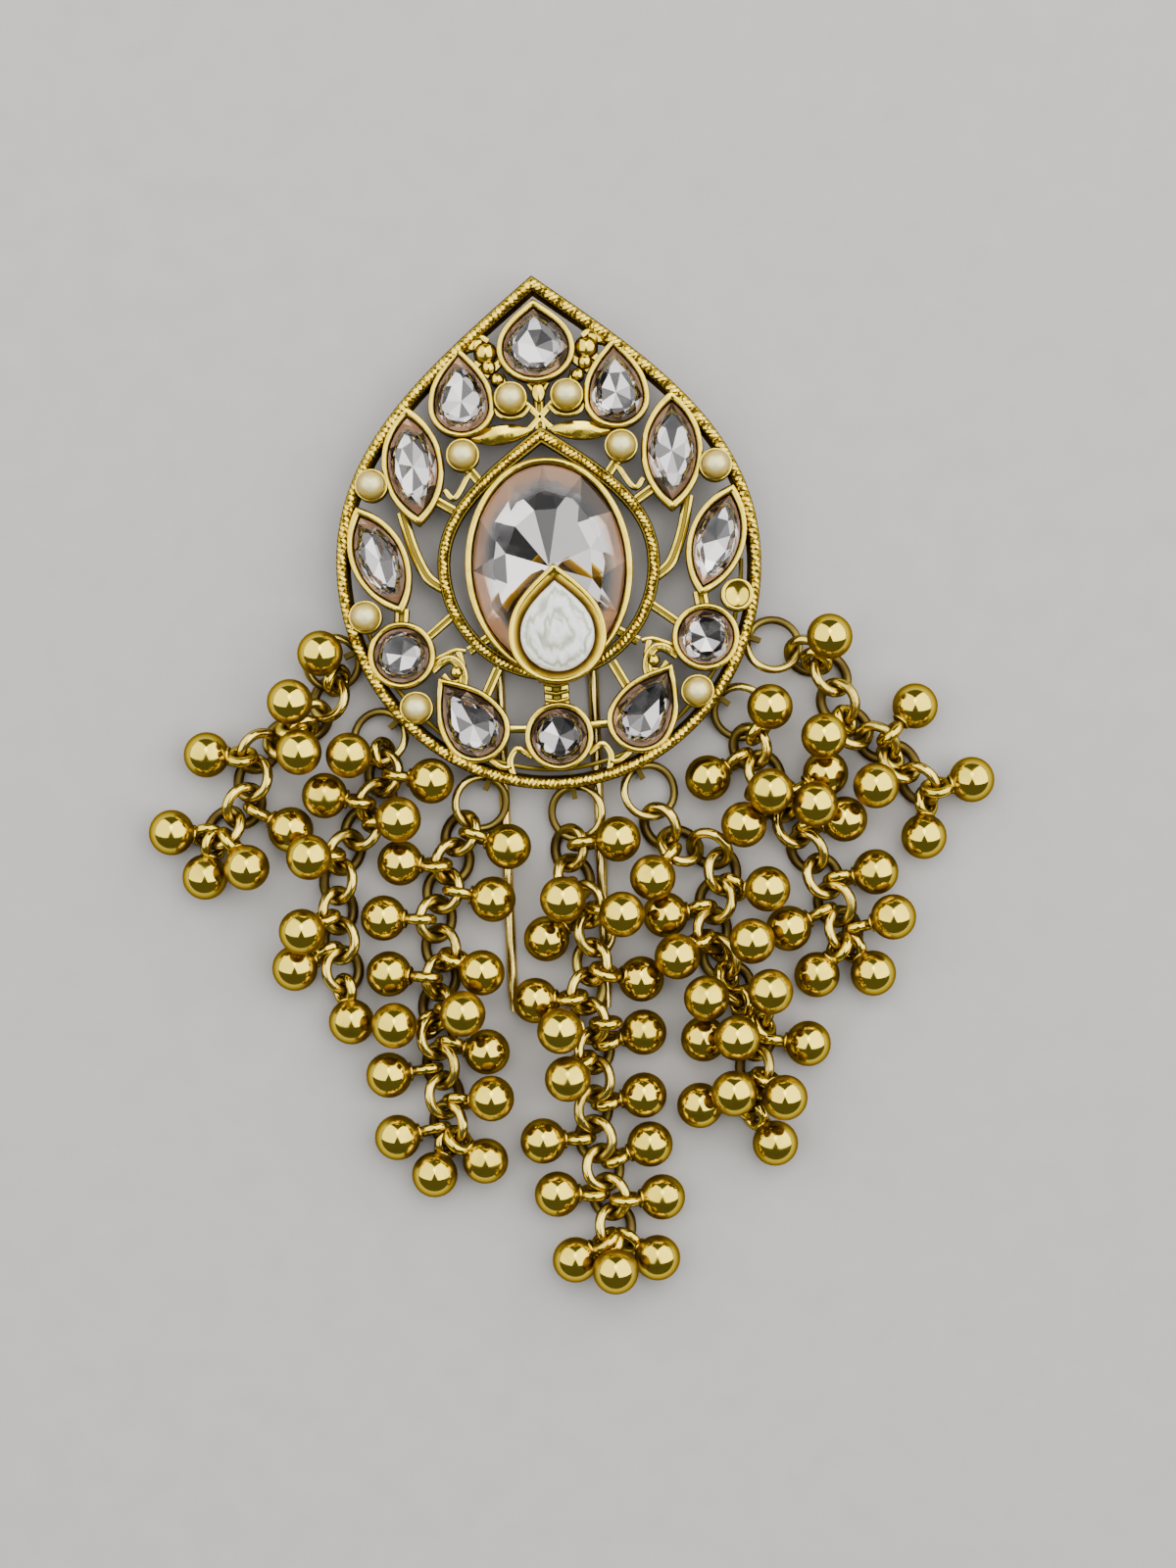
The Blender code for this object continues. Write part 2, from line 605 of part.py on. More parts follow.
def build_pearls(parent):
    radius = PEARL_DIAMETER / 2
    foot = PEARL_CUP_TOP + SEAT_GAP
    profile = ((1.0, 0.0), (0.8, 0.65), (0.35, 1.0))
    number = 0
    for place in PEARL_PLACES:
        for side in (-1, 1):
            if side > 0 and place.right_is_empty:
                continue
            middle = spot(side * place.across, place.along)
            pearl = bmesh.new()
            stack(pearl, [lift(disc(middle, radius * width, PEARL_SIDES), foot + PEARL_HEIGHT * rise)
                          for width, rise in profile])
            number += 1
            add_object(f"pearl_{number}", pearl, PEARL, parent)


def pin_place(point):
    """From the pin's own frame, centred in its bow, to the plan."""
    bow_centre = Vector((PIN_SHIFT, PIN_BOW_TOP - PIN_LEG_SPACING / 2 - PIN_WIRE / 2))
    return bow_centre + Matrix.Rotation(PIN_LEAN, 2) @ Vector(point)


def pin_path():
    """Tip, leg, bow, leg, tip."""
    half = PIN_LEG_SPACING / 2
    tip = -(PIN_LENGTH - half)
    bow = [(half * math.cos(math.pi * i / 10), half * math.sin(math.pi * i / 10))
           for i in range(11)]
    return [pin_place(p) for p in [(half, tip), (half, tip + PIN_WIRE * 2)] + bow
            + [(-half, tip + PIN_WIRE * 2), (-half, tip)]]


def wire_mesh(points, diameter, radii):
    """A round wire along 3D points, closed at both ends, as a bmesh."""
    curve = bpy.data.curves.new("wire", "CURVE")
    curve.dimensions = "3D"
    curve.bevel_depth = diameter / 2
    curve.bevel_resolution = 2
    curve.use_fill_caps = True
    spline = curve.splines.new("POLY")
    spline.points.add(len(points) - 1)
    for place, point, radius in zip(spline.points, points, radii):
        place.co = (*point, 1.0)
        place.radius = radius
    wire = bpy.data.objects.new("wire", curve)
    bpy.context.collection.objects.link(wire)
    bpy.context.view_layer.update()
    bm = bmesh.new()
    bm.from_mesh(wire.evaluated_get(bpy.context.evaluated_depsgraph_get()).to_mesh())
    bmesh.ops.remove_doubles(bm, verts=bm.verts, dist=0.001 * MM)
    bpy.data.objects.remove(wire, do_unlink=True)
    bpy.data.curves.remove(curve)
    return bm


def build_pin(parent):
    points = [Vector((*p, PIN_LEVEL)) for p in pin_path()]
    radii = [0.6] + [1.0] * (len(points) - 2) + [0.6]
    add_object("hair_pin", wire_mesh(points, PIN_WIRE, radii), GOLD, parent)


def smooth_route(points, spacing):
    """A smooth curve through plan points, as plan points a fixed spacing apart."""
    knots = [Vector(p) for p in points]
    knots = [knots[0] * 2 - knots[1]] + knots + [knots[-1] * 2 - knots[-2]]
    dense = []
    for a, b, c, d in zip(knots, knots[1:], knots[2:], knots[3:]):
        for i in range(24):
            t = i / 24
            dense.append(0.5 * (2 * b + (c - a) * t + (2 * a - 5 * b + 4 * c - d) * t * t
                                + (3 * b - a - 3 * c + d) * t ** 3))
    dense.append(knots[-2])
    even = [dense[0]]
    carried = 0.0
    for start, end in zip(dense, dense[1:]):
        run = (end - start).length
        while carried + run >= spacing:
            start = start + (end - start) * ((spacing - carried) / run)
            run = (end - start).length
            even.append(start)
            carried = 0.0
        carried += run
    return even


ROUTE_STEP = 0.1 * MM


class LaidStrand:
    """A chain as it lies: its rim ring, the chain's path, and a place for each drop."""

    def __init__(self, row):
        self.row = row
        edge, outward = rim_point(math.radians(row.rim_angle))
        self.rim_ring = edge + outward * (RIM_RING_RADIUS - STAPLE_DEPTH)
        turns = [(0.0, 0.0)] + list(row.route)
        points = [self.rim_ring + Vector(p) * MM for p in turns]
        self.path = smooth_route(points, ROUTE_STEP)
        self.heights = chain_heights(self.path)
        count = int((len(self.path) * ROUTE_STEP - FIRST_PITCH) / RING_PITCH + 1.3)
        self.rings = []
        for number in range(count):
            spot = round((FIRST_PITCH + number * RING_PITCH) / ROUTE_STEP)
            spot = min(spot, len(self.path) - 1)
            self.rings.append(Vector((*self.path[spot], self.heights[spot])))
        self.drops = []

    def ring(self, number):
        return self.rings[min(number, len(self.rings)) - 1]


def chain_heights(path):
    """The chain lies on the surface and climbs over the pin where it crosses it."""
    pin = [Vector(p) for p in pin_path()]
    bare = CHAIN_GIRTH / 2
    reach = CHAIN_GIRTH / 2 + PIN_WIRE / 2 + SEAT_GAP
    needed = []
    for point in path:
        aside = min(distance_to_segment(point, a, b) for a, b in zip(pin, pin[1:]))
        over = PIN_LEVEL + math.sqrt(max(reach ** 2 - aside ** 2, 0.0))
        needed.append(max(bare, over if aside < reach else bare))
    needed = np.array(needed)
    spots = np.arange(len(path)) * ROUTE_STEP
    return [float(np.max(needed - CHAIN_SLOPE * np.abs(spots - spot))) for spot in spots]


def distance_to_segment(point, start, end):
    run = end - start
    share = max(0.0, min(1.0, (point - start).dot(run) / run.length_squared))
    return (point - start - run * share).length


class Heap:
    """Round lumps for all that is laid so far, so that the next drop can rest on it."""

    def __init__(self):
        self.rows = []

    def add(self, points, radius, owner):
        self.rows.extend((*point, radius, owner) for point in points)

    def clearance(self, points, radius, skip=-9):
        """How far some round lumps of one radius stay from the rest of the heap."""
        rows = np.array(self.rows)
        rows = rows[rows[:, 4] != skip]
        away = [np.min(np.linalg.norm(rows[:, :3] - np.array(point), axis=1) - rows[:, 3])
                for point in points]
        return float(min(away)) - radius


def rim_lumps(heap):
    """The rim as two rows of lumps, so that no drop is laid against it."""
    turn = Matrix.Rotation(PLAQUE_LEAN, 2)
    edge = [turn @ Vector(p) for p in rim_plan(RIM_WIDTH / 2)]
    for start, end in zip(edge, edge[1:] + edge[:1]):
        for share in (0.0, 0.33, 0.67):
            spot = start + (end - start) * share
            rows = [(*spot, BACK + RIM_WIDTH / 2), (*spot, BACK + RIM_HEIGHT - RIM_WIDTH / 2)]
            heap.add(rows, RIM_WIDTH / 2, -1)


def lay_drop(heap, strand, owner, number, bearing):
    """Swing a drop up from its ring until it clears what is laid, and leave it there."""
    ring = strand.ring(number)
    radius = BALL_DIAMETER / 2
    best = (-1.0, None, None)
    for swing in (0, 8, -8, 16, -16, 24, -24, 36, -36, 50, -50):
        turn = math.radians(bearing + swing)
        for step in range(0, 41):
            rise = radius - ring.z + step * 0.1 * MM
            if abs(rise) > DROP_REACH * 0.95:
                break
            plan = math.sqrt(DROP_REACH ** 2 - rise ** 2)
            ball = ring + Vector((plan * math.cos(turn), plan * math.sin(turn), rise))
            stem = [ring.lerp(ball, share) for share in (0.35, 0.45, 0.55)]
            clear = min(heap.clearance([ball], radius),
                        heap.clearance(stem, STEM_DIAMETER / 2, skip=owner))
            if clear > best[0]:
                best = (clear, ball, stem)
            if clear >= SEAT_GAP:
                break
        if best[0] >= SEAT_GAP:
            break
    clear, ball, stem = best
    heap.add([ball], radius, owner + 0.5)
    heap.add(stem, STEM_DIAMETER / 2, owner)
    strand.drops.append((ring, ball))


def lay_fringe():
    """Lay the pin, then the chains, then the lower drops, then the upper ones."""
    heap = Heap()
    rim_lumps(heap)
    pin = [Vector(p) for p in pin_path()]
    for start, end in zip(pin, pin[1:]):
        count = max(2, round((end - start).length / (0.3 * MM)))
        spots = [start.lerp(end, i / count) for i in range(count + 1)]
        heap.add([(*spot, PIN_LEVEL) for spot in spots], PIN_WIRE / 2, -1)
    strands = [LaidStrand(row) for row in STRANDS]
    for owner, strand in enumerate(strands):
        start = round((RIM_RING_RADIUS + CHAIN_GIRTH / 2) / ROUTE_STEP)
        spots = list(zip(strand.path, strand.heights))[start::5]
        heap.add([(*point, height) for point, height in spots], CHAIN_GIRTH / 2, owner)
        circle = [strand.rim_ring + Matrix.Rotation(math.radians(turn), 2)
                  @ Vector((RIM_RING_RADIUS, 0)) for turn in range(0, 360, 15)]
        heap.add([(*spot, RIM_RING_LEVEL) for spot in circle], RIM_RING_WIRE / 2, owner)
    for layer in ("under", "over"):
        for owner, strand in enumerate(strands):
            for number, bearing in getattr(strand.row, layer):
                lay_drop(heap, strand, owner, number, bearing)
    return strands


def drop_solid(bm, ring, ball):
    """A ball with a five-sided stem towards its ring, one closed skin."""
    radius = BALL_DIAMETER / 2
    stem = STEM_DIAMETER / 2
    ahead = (ring - ball).normalized()
    up = (Vector((0, 0, 1)) - ahead * ahead.z).normalized()
    aside = ahead.cross(up)

    def circle(size, along, sides):
        turns = [2 * math.pi * i / sides for i in range(sides)]
        return [bm.verts.new(ball + ahead * along + up * size * math.cos(turn)
                             + aside * size * math.sin(turn)) for turn in turns]

    slant = radius * math.cos(math.radians(45))
    pole = bm.verts.new(ball - ahead * radius)
    back = circle(slant, -slant, BALL_SIDES)
    waist = circle(radius, 0.0, BALL_SIDES)
    front = circle(slant, slant, BALL_SIDES)
    root = circle(stem, math.sqrt(radius ** 2 - stem ** 2), WIRE_SIDES)
    end = circle(stem, (ring - ball).length + stem, WIRE_SIDES)
    for i in range(BALL_SIDES):
        j = (i + 1) % BALL_SIDES
        bm.faces.new((pole, back[j], back[i]))
        bm.faces.new((back[i], back[j], waist[j], waist[i]))
        bm.faces.new((waist[i], waist[j], front[j], front[i]))
    ratio = BALL_SIDES // WIRE_SIDES
    for i in range(WIRE_SIDES):
        j = (i + 1) % WIRE_SIDES
        near = [front[(ratio * i + k) % BALL_SIDES] for k in range(ratio + 1)]
        for first, second in zip(near, near[1:]):
            bm.faces.new((first, second, root[i]))
        bm.faces.new((root[i], near[-1], root[j]))
        bm.faces.new((root[i], root[j], end[j], end[i]))
    bm.faces.new(end)


def build_strand(strand, parent):
    """One chain: a tube for its links, fused with the rim ring and the drops."""
    name = strand.row.name
    first = round(RIM_RING_RADIUS / ROUTE_STEP)
    last = round((FIRST_PITCH + (len(strand.rings) - 1) * RING_PITCH) / ROUTE_STEP)
    last = min(last, len(strand.path) - 1)
    count = max(3, round((last - first) * ROUTE_STEP / (1.3 * CHAIN_GIRTH)))
    spots = [round(first + (last - first) * i / count) for i in range(count + 1)]
    points = [Vector((*strand.path[spot], strand.heights[spot])) for spot in spots]
    points[-1] += (points[-1] - points[-2]).normalized() * RING_RADIUS / 2
    tube = wire_mesh(points, CHAIN_GIRTH, [1.0] * len(points))
    body = add_object(name, tube, CHAIN_GOLD, parent)

    rest = bmesh.new()
    link(rest, Vector((*strand.rim_ring, RIM_RING_LEVEL)), RIM_RING_RADIUS, RIM_RING_WIRE)
    for ring, ball in strand.drops:
        drop_solid(rest, ring, ball)
    fuse(body, add_object(name + "_pieces", rest, CHAIN_GOLD, parent))


def centre_on_origin(root):
    """Bring the middle of the whole brooch, as seen from above, over the origin."""
    bpy.context.view_layer.update()
    graph = bpy.context.evaluated_depsgraph_get()
    low = Vector((1, 1, 1))
    high = Vector((-1, -1, -1))
    for thing in bpy.context.scene.objects:
        if thing.type == "EMPTY" or thing.hide_render:
            continue
        shown = thing.evaluated_get(graph)
        mesh = shown.to_mesh()
        for vertex in mesh.vertices:
            place = shown.matrix_world @ vertex.co
            low = Vector(map(min, low, place))
            high = Vector(map(max, high, place))
        shown.to_mesh_clear()
    root.location = (-(low.x + high.x) / 2, -(low.y + high.y) / 2, -low.z)


def build():
    clear_scene()
    root = bpy.data.objects.new("brooch", None)
    frame = bpy.data.objects.new("plaque_frame", None)
    for empty in (root, frame):
        bpy.context.collection.objects.link(empty)
    frame.parent = root
    frame.rotation_euler = (0, 0, PLAQUE_LEAN)
    build_plaque(frame)
    build_stones(frame)
    build_pearls(frame)
    build_pin(root)
    for strand in lay_fringe():
        build_strand(strand, root)
    centre_on_origin(root)


build()
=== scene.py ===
import math
import random
from collections import namedtuple

import bmesh
import bpy
import numpy as np
from mathutils import Matrix, Vector, noise


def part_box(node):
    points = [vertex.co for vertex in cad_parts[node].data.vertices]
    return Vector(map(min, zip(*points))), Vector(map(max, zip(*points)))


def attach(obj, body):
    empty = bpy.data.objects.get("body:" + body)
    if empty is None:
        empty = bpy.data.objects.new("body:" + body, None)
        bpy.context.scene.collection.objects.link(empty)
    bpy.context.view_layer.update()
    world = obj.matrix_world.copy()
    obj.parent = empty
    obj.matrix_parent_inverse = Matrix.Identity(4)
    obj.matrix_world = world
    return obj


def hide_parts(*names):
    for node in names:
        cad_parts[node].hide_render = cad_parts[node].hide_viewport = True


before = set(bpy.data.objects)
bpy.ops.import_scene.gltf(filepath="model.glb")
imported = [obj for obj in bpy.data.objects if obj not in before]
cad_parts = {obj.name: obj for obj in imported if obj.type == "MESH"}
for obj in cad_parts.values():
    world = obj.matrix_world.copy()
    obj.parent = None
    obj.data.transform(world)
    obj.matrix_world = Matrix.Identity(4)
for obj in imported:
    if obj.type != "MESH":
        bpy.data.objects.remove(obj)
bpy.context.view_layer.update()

# Where the plaque lies
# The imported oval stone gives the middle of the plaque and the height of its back. Pieces are
# shaped in millimetres round that middle and set in place by one of two matrices: on_plaque
# turns with the plaque, as_laid only moves.
PLAQUE_LEAN = math.radians(3.5)
OVAL_OFFSET = -0.3
BACK_TO_STONE = 1.1
stone_low, stone_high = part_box("oval_stone")
stone_middle = (stone_low + stone_high) / 2
lean = Matrix.Rotation(PLAQUE_LEAN, 4, "Z")
to_metres = Matrix.Scale(0.001, 4)
plaque_middle = stone_middle - lean @ Vector((0, OVAL_OFFSET, 0)) * 0.001
plaque_middle.z = 0.0
BACK = stone_low.z * 1000 - BACK_TO_STONE
on_plaque = Matrix.Translation(plaque_middle) @ lean @ to_metres
as_laid = Matrix.Translation(plaque_middle) @ to_metres

# The rim
# A cast teardrop wall of antique gold-plated brass with a twisted wire soldered along its top.
# Plating is bright on top and nearly black low down and on steep sides: painted shade, mixed with
# the patina that stays in the hollows.
RIM_HALF_WIDTH = 18.5
RIM_RISE = 25.1
RIM_FALL = 19.7
RIM_WIDTH = 1.2
RIM_HEIGHT = 2.4
POINT_INSET = 1.4
ROPE_STRAND = 0.27
ROPE_COIL = 0.20
ROPE_PITCH = 0.95
ROPE_INSET = 0.5
ROPE_DROP = 0.75
COIL_STEPS = 12.0
COIL_SIDES = 7
# How far a face must point up to escape the painted shade on steep sides.
STEEP_SHADE_SPAN = (0.3, 0.85)
BLOTCHED = (0.48, 0.68)
GRAIN_SCALE = 1300.0
GRAIN_DEPTH = 0.00004
WORN_ROUGHNESS = 0.5
GOLD_TINT = (0.88, 0.60, 0.16, 1)


def bezier(start, handle_1, handle_2, end, share):
    rest = 1 - share
    weights = (rest ** 3, 3 * rest ** 2 * share, 3 * rest * share ** 2, share ** 3)
    points = (start, handle_1, handle_2, end)
    return tuple(sum(w * p[axis] for w, p in zip(weights, points)) for axis in (0, 1))


def drop_plan(half_width, rise, fall, sides):
    """A teardrop, point up, anticlockwise from its right side."""
    handles = ((half_width * 0.52, rise * 0.70), (half_width, rise * 0.44))
    quarter = sides // 4
    right = [bezier((half_width, 0), handles[1], handles[0], (0, rise), step / quarter)
             for step in range(quarter)]
    left = [(-x, y) for x, y in [(0, rise)] + right[:0:-1]]
    turns = [math.pi + math.pi * step / (sides // 2) for step in range(sides // 2)]
    return right + left + [(half_width * math.cos(t), fall * math.sin(t)) for t in turns]


def rim_plan(inset, sides):
    return drop_plan(RIM_HALF_WIDTH - inset, RIM_RISE - inset * POINT_INSET, RIM_FALL - inset,
                     sides)


def lift(points, height):
    return [Vector((x, y, height)) for x, y in points]


def stack(bm, loops, ring=False):
    """Skin a row of loops with equal counts; a ring joins the last to the first."""
    rows = [[bm.verts.new(point) for point in loop] for loop in loops]
    pairs = list(zip(rows, rows[1:])) + ([(rows[-1], rows[0])] if ring else [])
    for lower, upper in pairs:
        for i in range(len(lower)):
            j = (i + 1) % len(lower)
            bm.faces.new((lower[i], lower[j], upper[j], upper[i]))
    if not ring:
        bm.faces.new(rows[0][::-1])
        bm.faces.new(rows[-1])


def mesh_of(name, bm):
    """Close a bmesh into a mesh with outward faces."""
    bmesh.ops.recalc_face_normals(bm, faces=bm.faces)
    mesh = bpy.data.meshes.new(name)
    bm.to_mesh(mesh)
    bm.free()
    return mesh


def joined(name, meshes):
    bm = bmesh.new()
    for mesh in meshes:
        bm.from_mesh(mesh)
    made = bpy.data.meshes.new(name)
    bm.to_mesh(made)
    bm.free()
    return made


def finish_piece(name, mesh, place, materials, nodes, sharp=35):
    """Set a millimetre mesh in place as a piece that stands for its CAD nodes."""
    mesh.transform(place)
    if mesh.materials:
        mesh.materials.clear()
    for material in materials:
        mesh.materials.append(material)
    if sharp:
        mesh.shade_smooth()
        mesh.set_sharp_from_angle(angle=math.radians(sharp))
    else:
        mesh.shade_flat()
    piece = bpy.data.objects.new(name, mesh)
    bpy.context.collection.objects.link(piece)
    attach(piece, "root")
    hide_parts(*nodes)
    return piece


def plaque_piece(name, mesh, metal, sharp=35, place=on_plaque):
    """A piece of the plaque's own metal."""
    finish_piece(name, mesh, place, [metal], ["plaque"], sharp)


def feed(tree, node, inputs):
    """Fill a node's inputs; one that is given a socket gets a link."""
    for key, value in inputs.items():
        if isinstance(value, bpy.types.NodeSocket):
            tree.links.new(value, node.inputs[key])
        else:
            node.inputs[key].default_value = value


def add_node(tree, kind, inputs=None, **settings):
    made = tree.nodes.new(kind)
    for key, value in settings.items():
        setattr(made, key, value)
    feed(tree, made, inputs or {})
    return made


def maths(tree, operation, *values, **settings):
    return add_node(tree, "ShaderNodeMath", dict(enumerate(values)), operation=operation,
                    **settings).outputs[0]


def vector_maths(tree, operation, inputs):
    return add_node(tree, "ShaderNodeVectorMath", inputs, operation=operation).outputs[0]


def hoop(tree, sides, radius):
    return add_node(tree, "GeometryNodeCurvePrimitiveCircle",
                    {"Resolution": sides, "Radius": radius}).outputs[0]


def swept(tree, curve, sides, radius):
    """A round wire along a curve."""
    return add_node(tree, "GeometryNodeCurveToMesh",
                    {"Curve": curve, "Profile Curve": hoop(tree, sides, radius)}).outputs[0]


def new_growth(name, sizes):
    """A Geometry Nodes tree with a geometry in and out and named sizes."""
    tree = bpy.data.node_groups.new(name, "GeometryNodeTree")
    tree.interface.new_socket("Geometry", in_out="OUTPUT", socket_type="NodeSocketGeometry")
    tree.interface.new_socket("Geometry", in_out="INPUT", socket_type="NodeSocketGeometry")
    for size in sizes:
        tree.interface.new_socket(size, in_out="INPUT", socket_type="NodeSocketFloat")
    tree.interface.new_socket("Metal", in_out="INPUT", socket_type="NodeSocketMaterial")
    return tree, add_node(tree, "NodeGroupInput").outputs


def end_growth(tree, geometry, metal):
    smooth = add_node(tree, "GeometryNodeSetShadeSmooth", {"Geometry": geometry})
    real = add_node(tree, "GeometryNodeRealizeInstances", {"Geometry": smooth.outputs[0]})
    dressed = add_node(tree, "GeometryNodeSetMaterial",
                       {"Geometry": real.outputs[0], "Material": metal})
    add_node(tree, "NodeGroupOutput", {"Geometry": dressed.outputs[0]})


def grown(tree, seed_mesh, sizes, metal):
    """Run a tree on a seed mesh and return the result as a plain mesh."""
    seed = bpy.data.objects.new("seed", seed_mesh)
    bpy.context.collection.objects.link(seed)
    modifier = seed.modifiers.new("growth", "NODES")
    modifier.node_group = tree
    for item in tree.interface.items_tree:
        if item.in_out == "INPUT" and item.name in sizes:
            modifier[item.identifier] = float(sizes[item.name])
        if item.in_out == "INPUT" and item.name == "Metal":
            modifier[item.identifier] = metal
    seed.update_tag()
    bpy.context.view_layer.update()
    graph = bpy.context.evaluated_depsgraph_get()
    mesh = bpy.data.meshes.new_from_object(seed.evaluated_get(graph), depsgraph=graph)
    bpy.data.objects.remove(seed, do_unlink=True)
    return mesh


def closed_path(points):
    mesh = bpy.data.meshes.new("path")
    count = len(points)
    mesh.from_pydata([tuple(p) for p in points], [(i, (i + 1) % count) for i in range(count)], [])
    return mesh


def twisted_wire_growth():
    """One strand of a twisted wire: a path coiled round itself and given thickness."""
    tree, sizes = new_growth("twisted_wire", ("Strand", "Coil", "Turns", "Phase"))
    path = add_node(tree, "GeometryNodeMeshToCurve", {"Mesh": sizes["Geometry"]})
    count = maths(tree, "MULTIPLY", sizes["Turns"], COIL_STEPS)
    even = add_node(tree, "GeometryNodeResampleCurve", {"Curve": path.outputs[0], "Count": count})
    along = add_node(tree, "GeometryNodeSplineParameter").outputs["Factor"]
    turned = maths(tree, "MULTIPLY", along, sizes["Turns"])
    angle = maths(tree, "MULTIPLY_ADD", turned, math.tau, sizes["Phase"])
    tangent = add_node(tree, "GeometryNodeInputTangent").outputs[0]
    side = vector_maths(tree, "CROSS_PRODUCT", {0: tangent, 1: (0, 0, 1)})
    aside = vector_maths(tree, "SCALE", {0: side, 3: maths(tree, "COSINE", angle)})
    rise = add_node(tree, "ShaderNodeCombineXYZ", {2: maths(tree, "SINE", angle)})
    coil = vector_maths(tree, "ADD", {0: aside, 1: rise.outputs[0]})
    offset = vector_maths(tree, "SCALE", {0: coil, 3: sizes["Coil"]})
    moved = add_node(tree, "GeometryNodeSetPosition",
                     {"Geometry": even.outputs[0], "Offset": offset})
    end_growth(tree, swept(tree, moved.outputs[0], COIL_SIDES, sizes["Strand"]), sizes["Metal"])
    return tree


def object_place(tree):
    return add_node(tree, "ShaderNodeTexCoord").outputs["Object"]


def upward_part(tree, vector):
    return add_node(tree, "ShaderNodeSeparateXYZ", {0: vector}).outputs["Z"]


def cloud(tree, place, scale, **looks):
    """Soft noise over the surface."""
    return add_node(tree, "ShaderNodeTexNoise",
                    {"Vector": place, "Scale": scale, **looks}).outputs[0]


def fade(tree, value, span, results, **settings):
    """Go from the first result to the second while the value goes through its span."""
    return add_node(tree, "ShaderNodeMapRange",
                    {"Value": value, "From Min": span[0], "From Max": span[1],
                     "To Min": results[0], "To Max": results[1]}, **settings).outputs[0]


def patina_and_shade_group():
    """Where old gold is dark: low down and on steep sides, which is painted shade mixed with patina
    in the hollows, and in patina blotches.
    """
    tree = bpy.data.node_groups.new("patina_and_shade", "ShaderNodeTree")
    for size in ("Low", "High", "Side", "Blotch Scale", "Blotch Amount"):
        tree.interface.new_socket(size, in_out="INPUT", socket_type="NodeSocketFloat")
    for value in ("Dark", "Grain"):
        tree.interface.new_socket(value, in_out="OUTPUT", socket_type="NodeSocketFloat")
    sizes = add_node(tree, "NodeGroupInput").outputs
    place = object_place(tree)
    facing = add_node(tree, "ShaderNodeNewGeometry").outputs["Normal"]
    # Low parts darken: painted shade mixed with patina in the hollows.
    low = fade(tree, upward_part(tree, place), (sizes["Low"], sizes["High"]), (1.0, 0.0),
               interpolation_type="SMOOTHSTEP")
    # Steep sides darken as painted shade.
    steep_shade = fade(tree, upward_part(tree, facing), STEEP_SHADE_SPAN, (1.0, 0.0),
                 interpolation_type="SMOOTHSTEP")
    side = maths(tree, "MULTIPLY", steep_shade, sizes["Side"])
    blotch = cloud(tree, place, sizes["Blotch Scale"], Detail=4.0, Roughness=0.6)
    darkening = maths(tree, "MULTIPLY", fade(tree, blotch, BLOTCHED, (0.0, 1.0)),
                 sizes["Blotch Amount"])
    low_and_side_shade = maths(tree, "MAXIMUM", low, side)
    dark = maths(tree, "MAXIMUM", low_and_side_shade, darkening, use_clamp=True)
    grain = cloud(tree, place, GRAIN_SCALE, Detail=3.0)
    add_node(tree, "NodeGroupOutput", {"Dark": dark, "Grain": grain})
    return tree


patina_and_shade = patina_and_shade_group()


# A finish: bright gold, the dark colour of painted shade and patina, roughness, the heights where
# painted shade and patina fade in, the side amount of painted shade, patina blotch scale and amount,
# and bump.
Finish = namedtuple("Finish", "bright dark roughness low high side blotch_scale blotch_amount bump")


def new_finish(name):
    """A material and its node tree."""
    material = bpy.data.materials.new(name)
    material.use_nodes = True
    return material, material.node_tree


def dress(tree, inputs):
    """Give a material's shader its colours and values."""
    feed(tree, tree.nodes["Principled BSDF"], inputs)


def antique_metal(name, finish):
    """Gold plating over a dark colour of painted shade and patina; low and high are heights in
    metres.
    """
    material, tree = new_finish(name)
    darkening = add_node(tree, "ShaderNodeGroup", {
        "Low": finish.low, "High": finish.high, "Side": finish.side,
        "Blotch Scale": finish.blotch_scale, "Blotch Amount": finish.blotch_amount},
        node_tree=patina_and_shade).outputs
    # Gold goes to the dark colour under painted shade and patina.
    colour = add_node(tree, "ShaderNodeMix", {0: darkening["Dark"], 6: (*finish.bright, 1),
                                              7: (*finish.dark, 1)}, data_type="RGBA")
    height = add_node(tree, "ShaderNodeBump", {"Height": darkening["Grain"], "Strength": finish.bump,
                                               "Distance": GRAIN_DEPTH})
    rough = fade(tree, darkening["Dark"], (0.0, 1.0), (finish.roughness, WORN_ROUGHNESS))
    dress(tree, {"Base Color": colour.outputs[2], "Roughness": rough,
                 "Normal": height.outputs[0], "Metallic": 1.0, "Specular Tint": GOLD_TINT})
    return material


def plaque_gold(name, low, high, side=0.9, blotches=0.2, dark=(0.050, 0.032, 0.010)):
    """The plaque's plating, darkening from the higher to the lower of two heights above the plaque's
    back and on steep sides: painted shade mixed with patina.
    """
    return antique_metal(name, Finish(
        bright=(1.0, 0.75, 0.08), dark=dark, roughness=0.12,
        low=(BACK + low) * 0.001, high=(BACK + high) * 0.001, side=side, blotch_scale=900.0,
        blotch_amount=blotches, bump=0.5))


rim_gold = plaque_gold("rim_gold", 1.6, 1.75, 0.6)
twisted_wire = twisted_wire_growth()


def rope(plan, height, strand, coil, pitch, metal):
    """Both strands of a twisted wire along a closed plan."""
    path = lift(plan, height)
    length = sum((b - a).length for a, b in zip(path, path[1:] + path[:1]))
    sizes = {"Strand": strand, "Coil": coil, "Turns": round(length / pitch)}
    return [grown(twisted_wire, closed_path(path), {**sizes, "Phase": phase}, metal)
            for phase in (0.0, math.pi)]


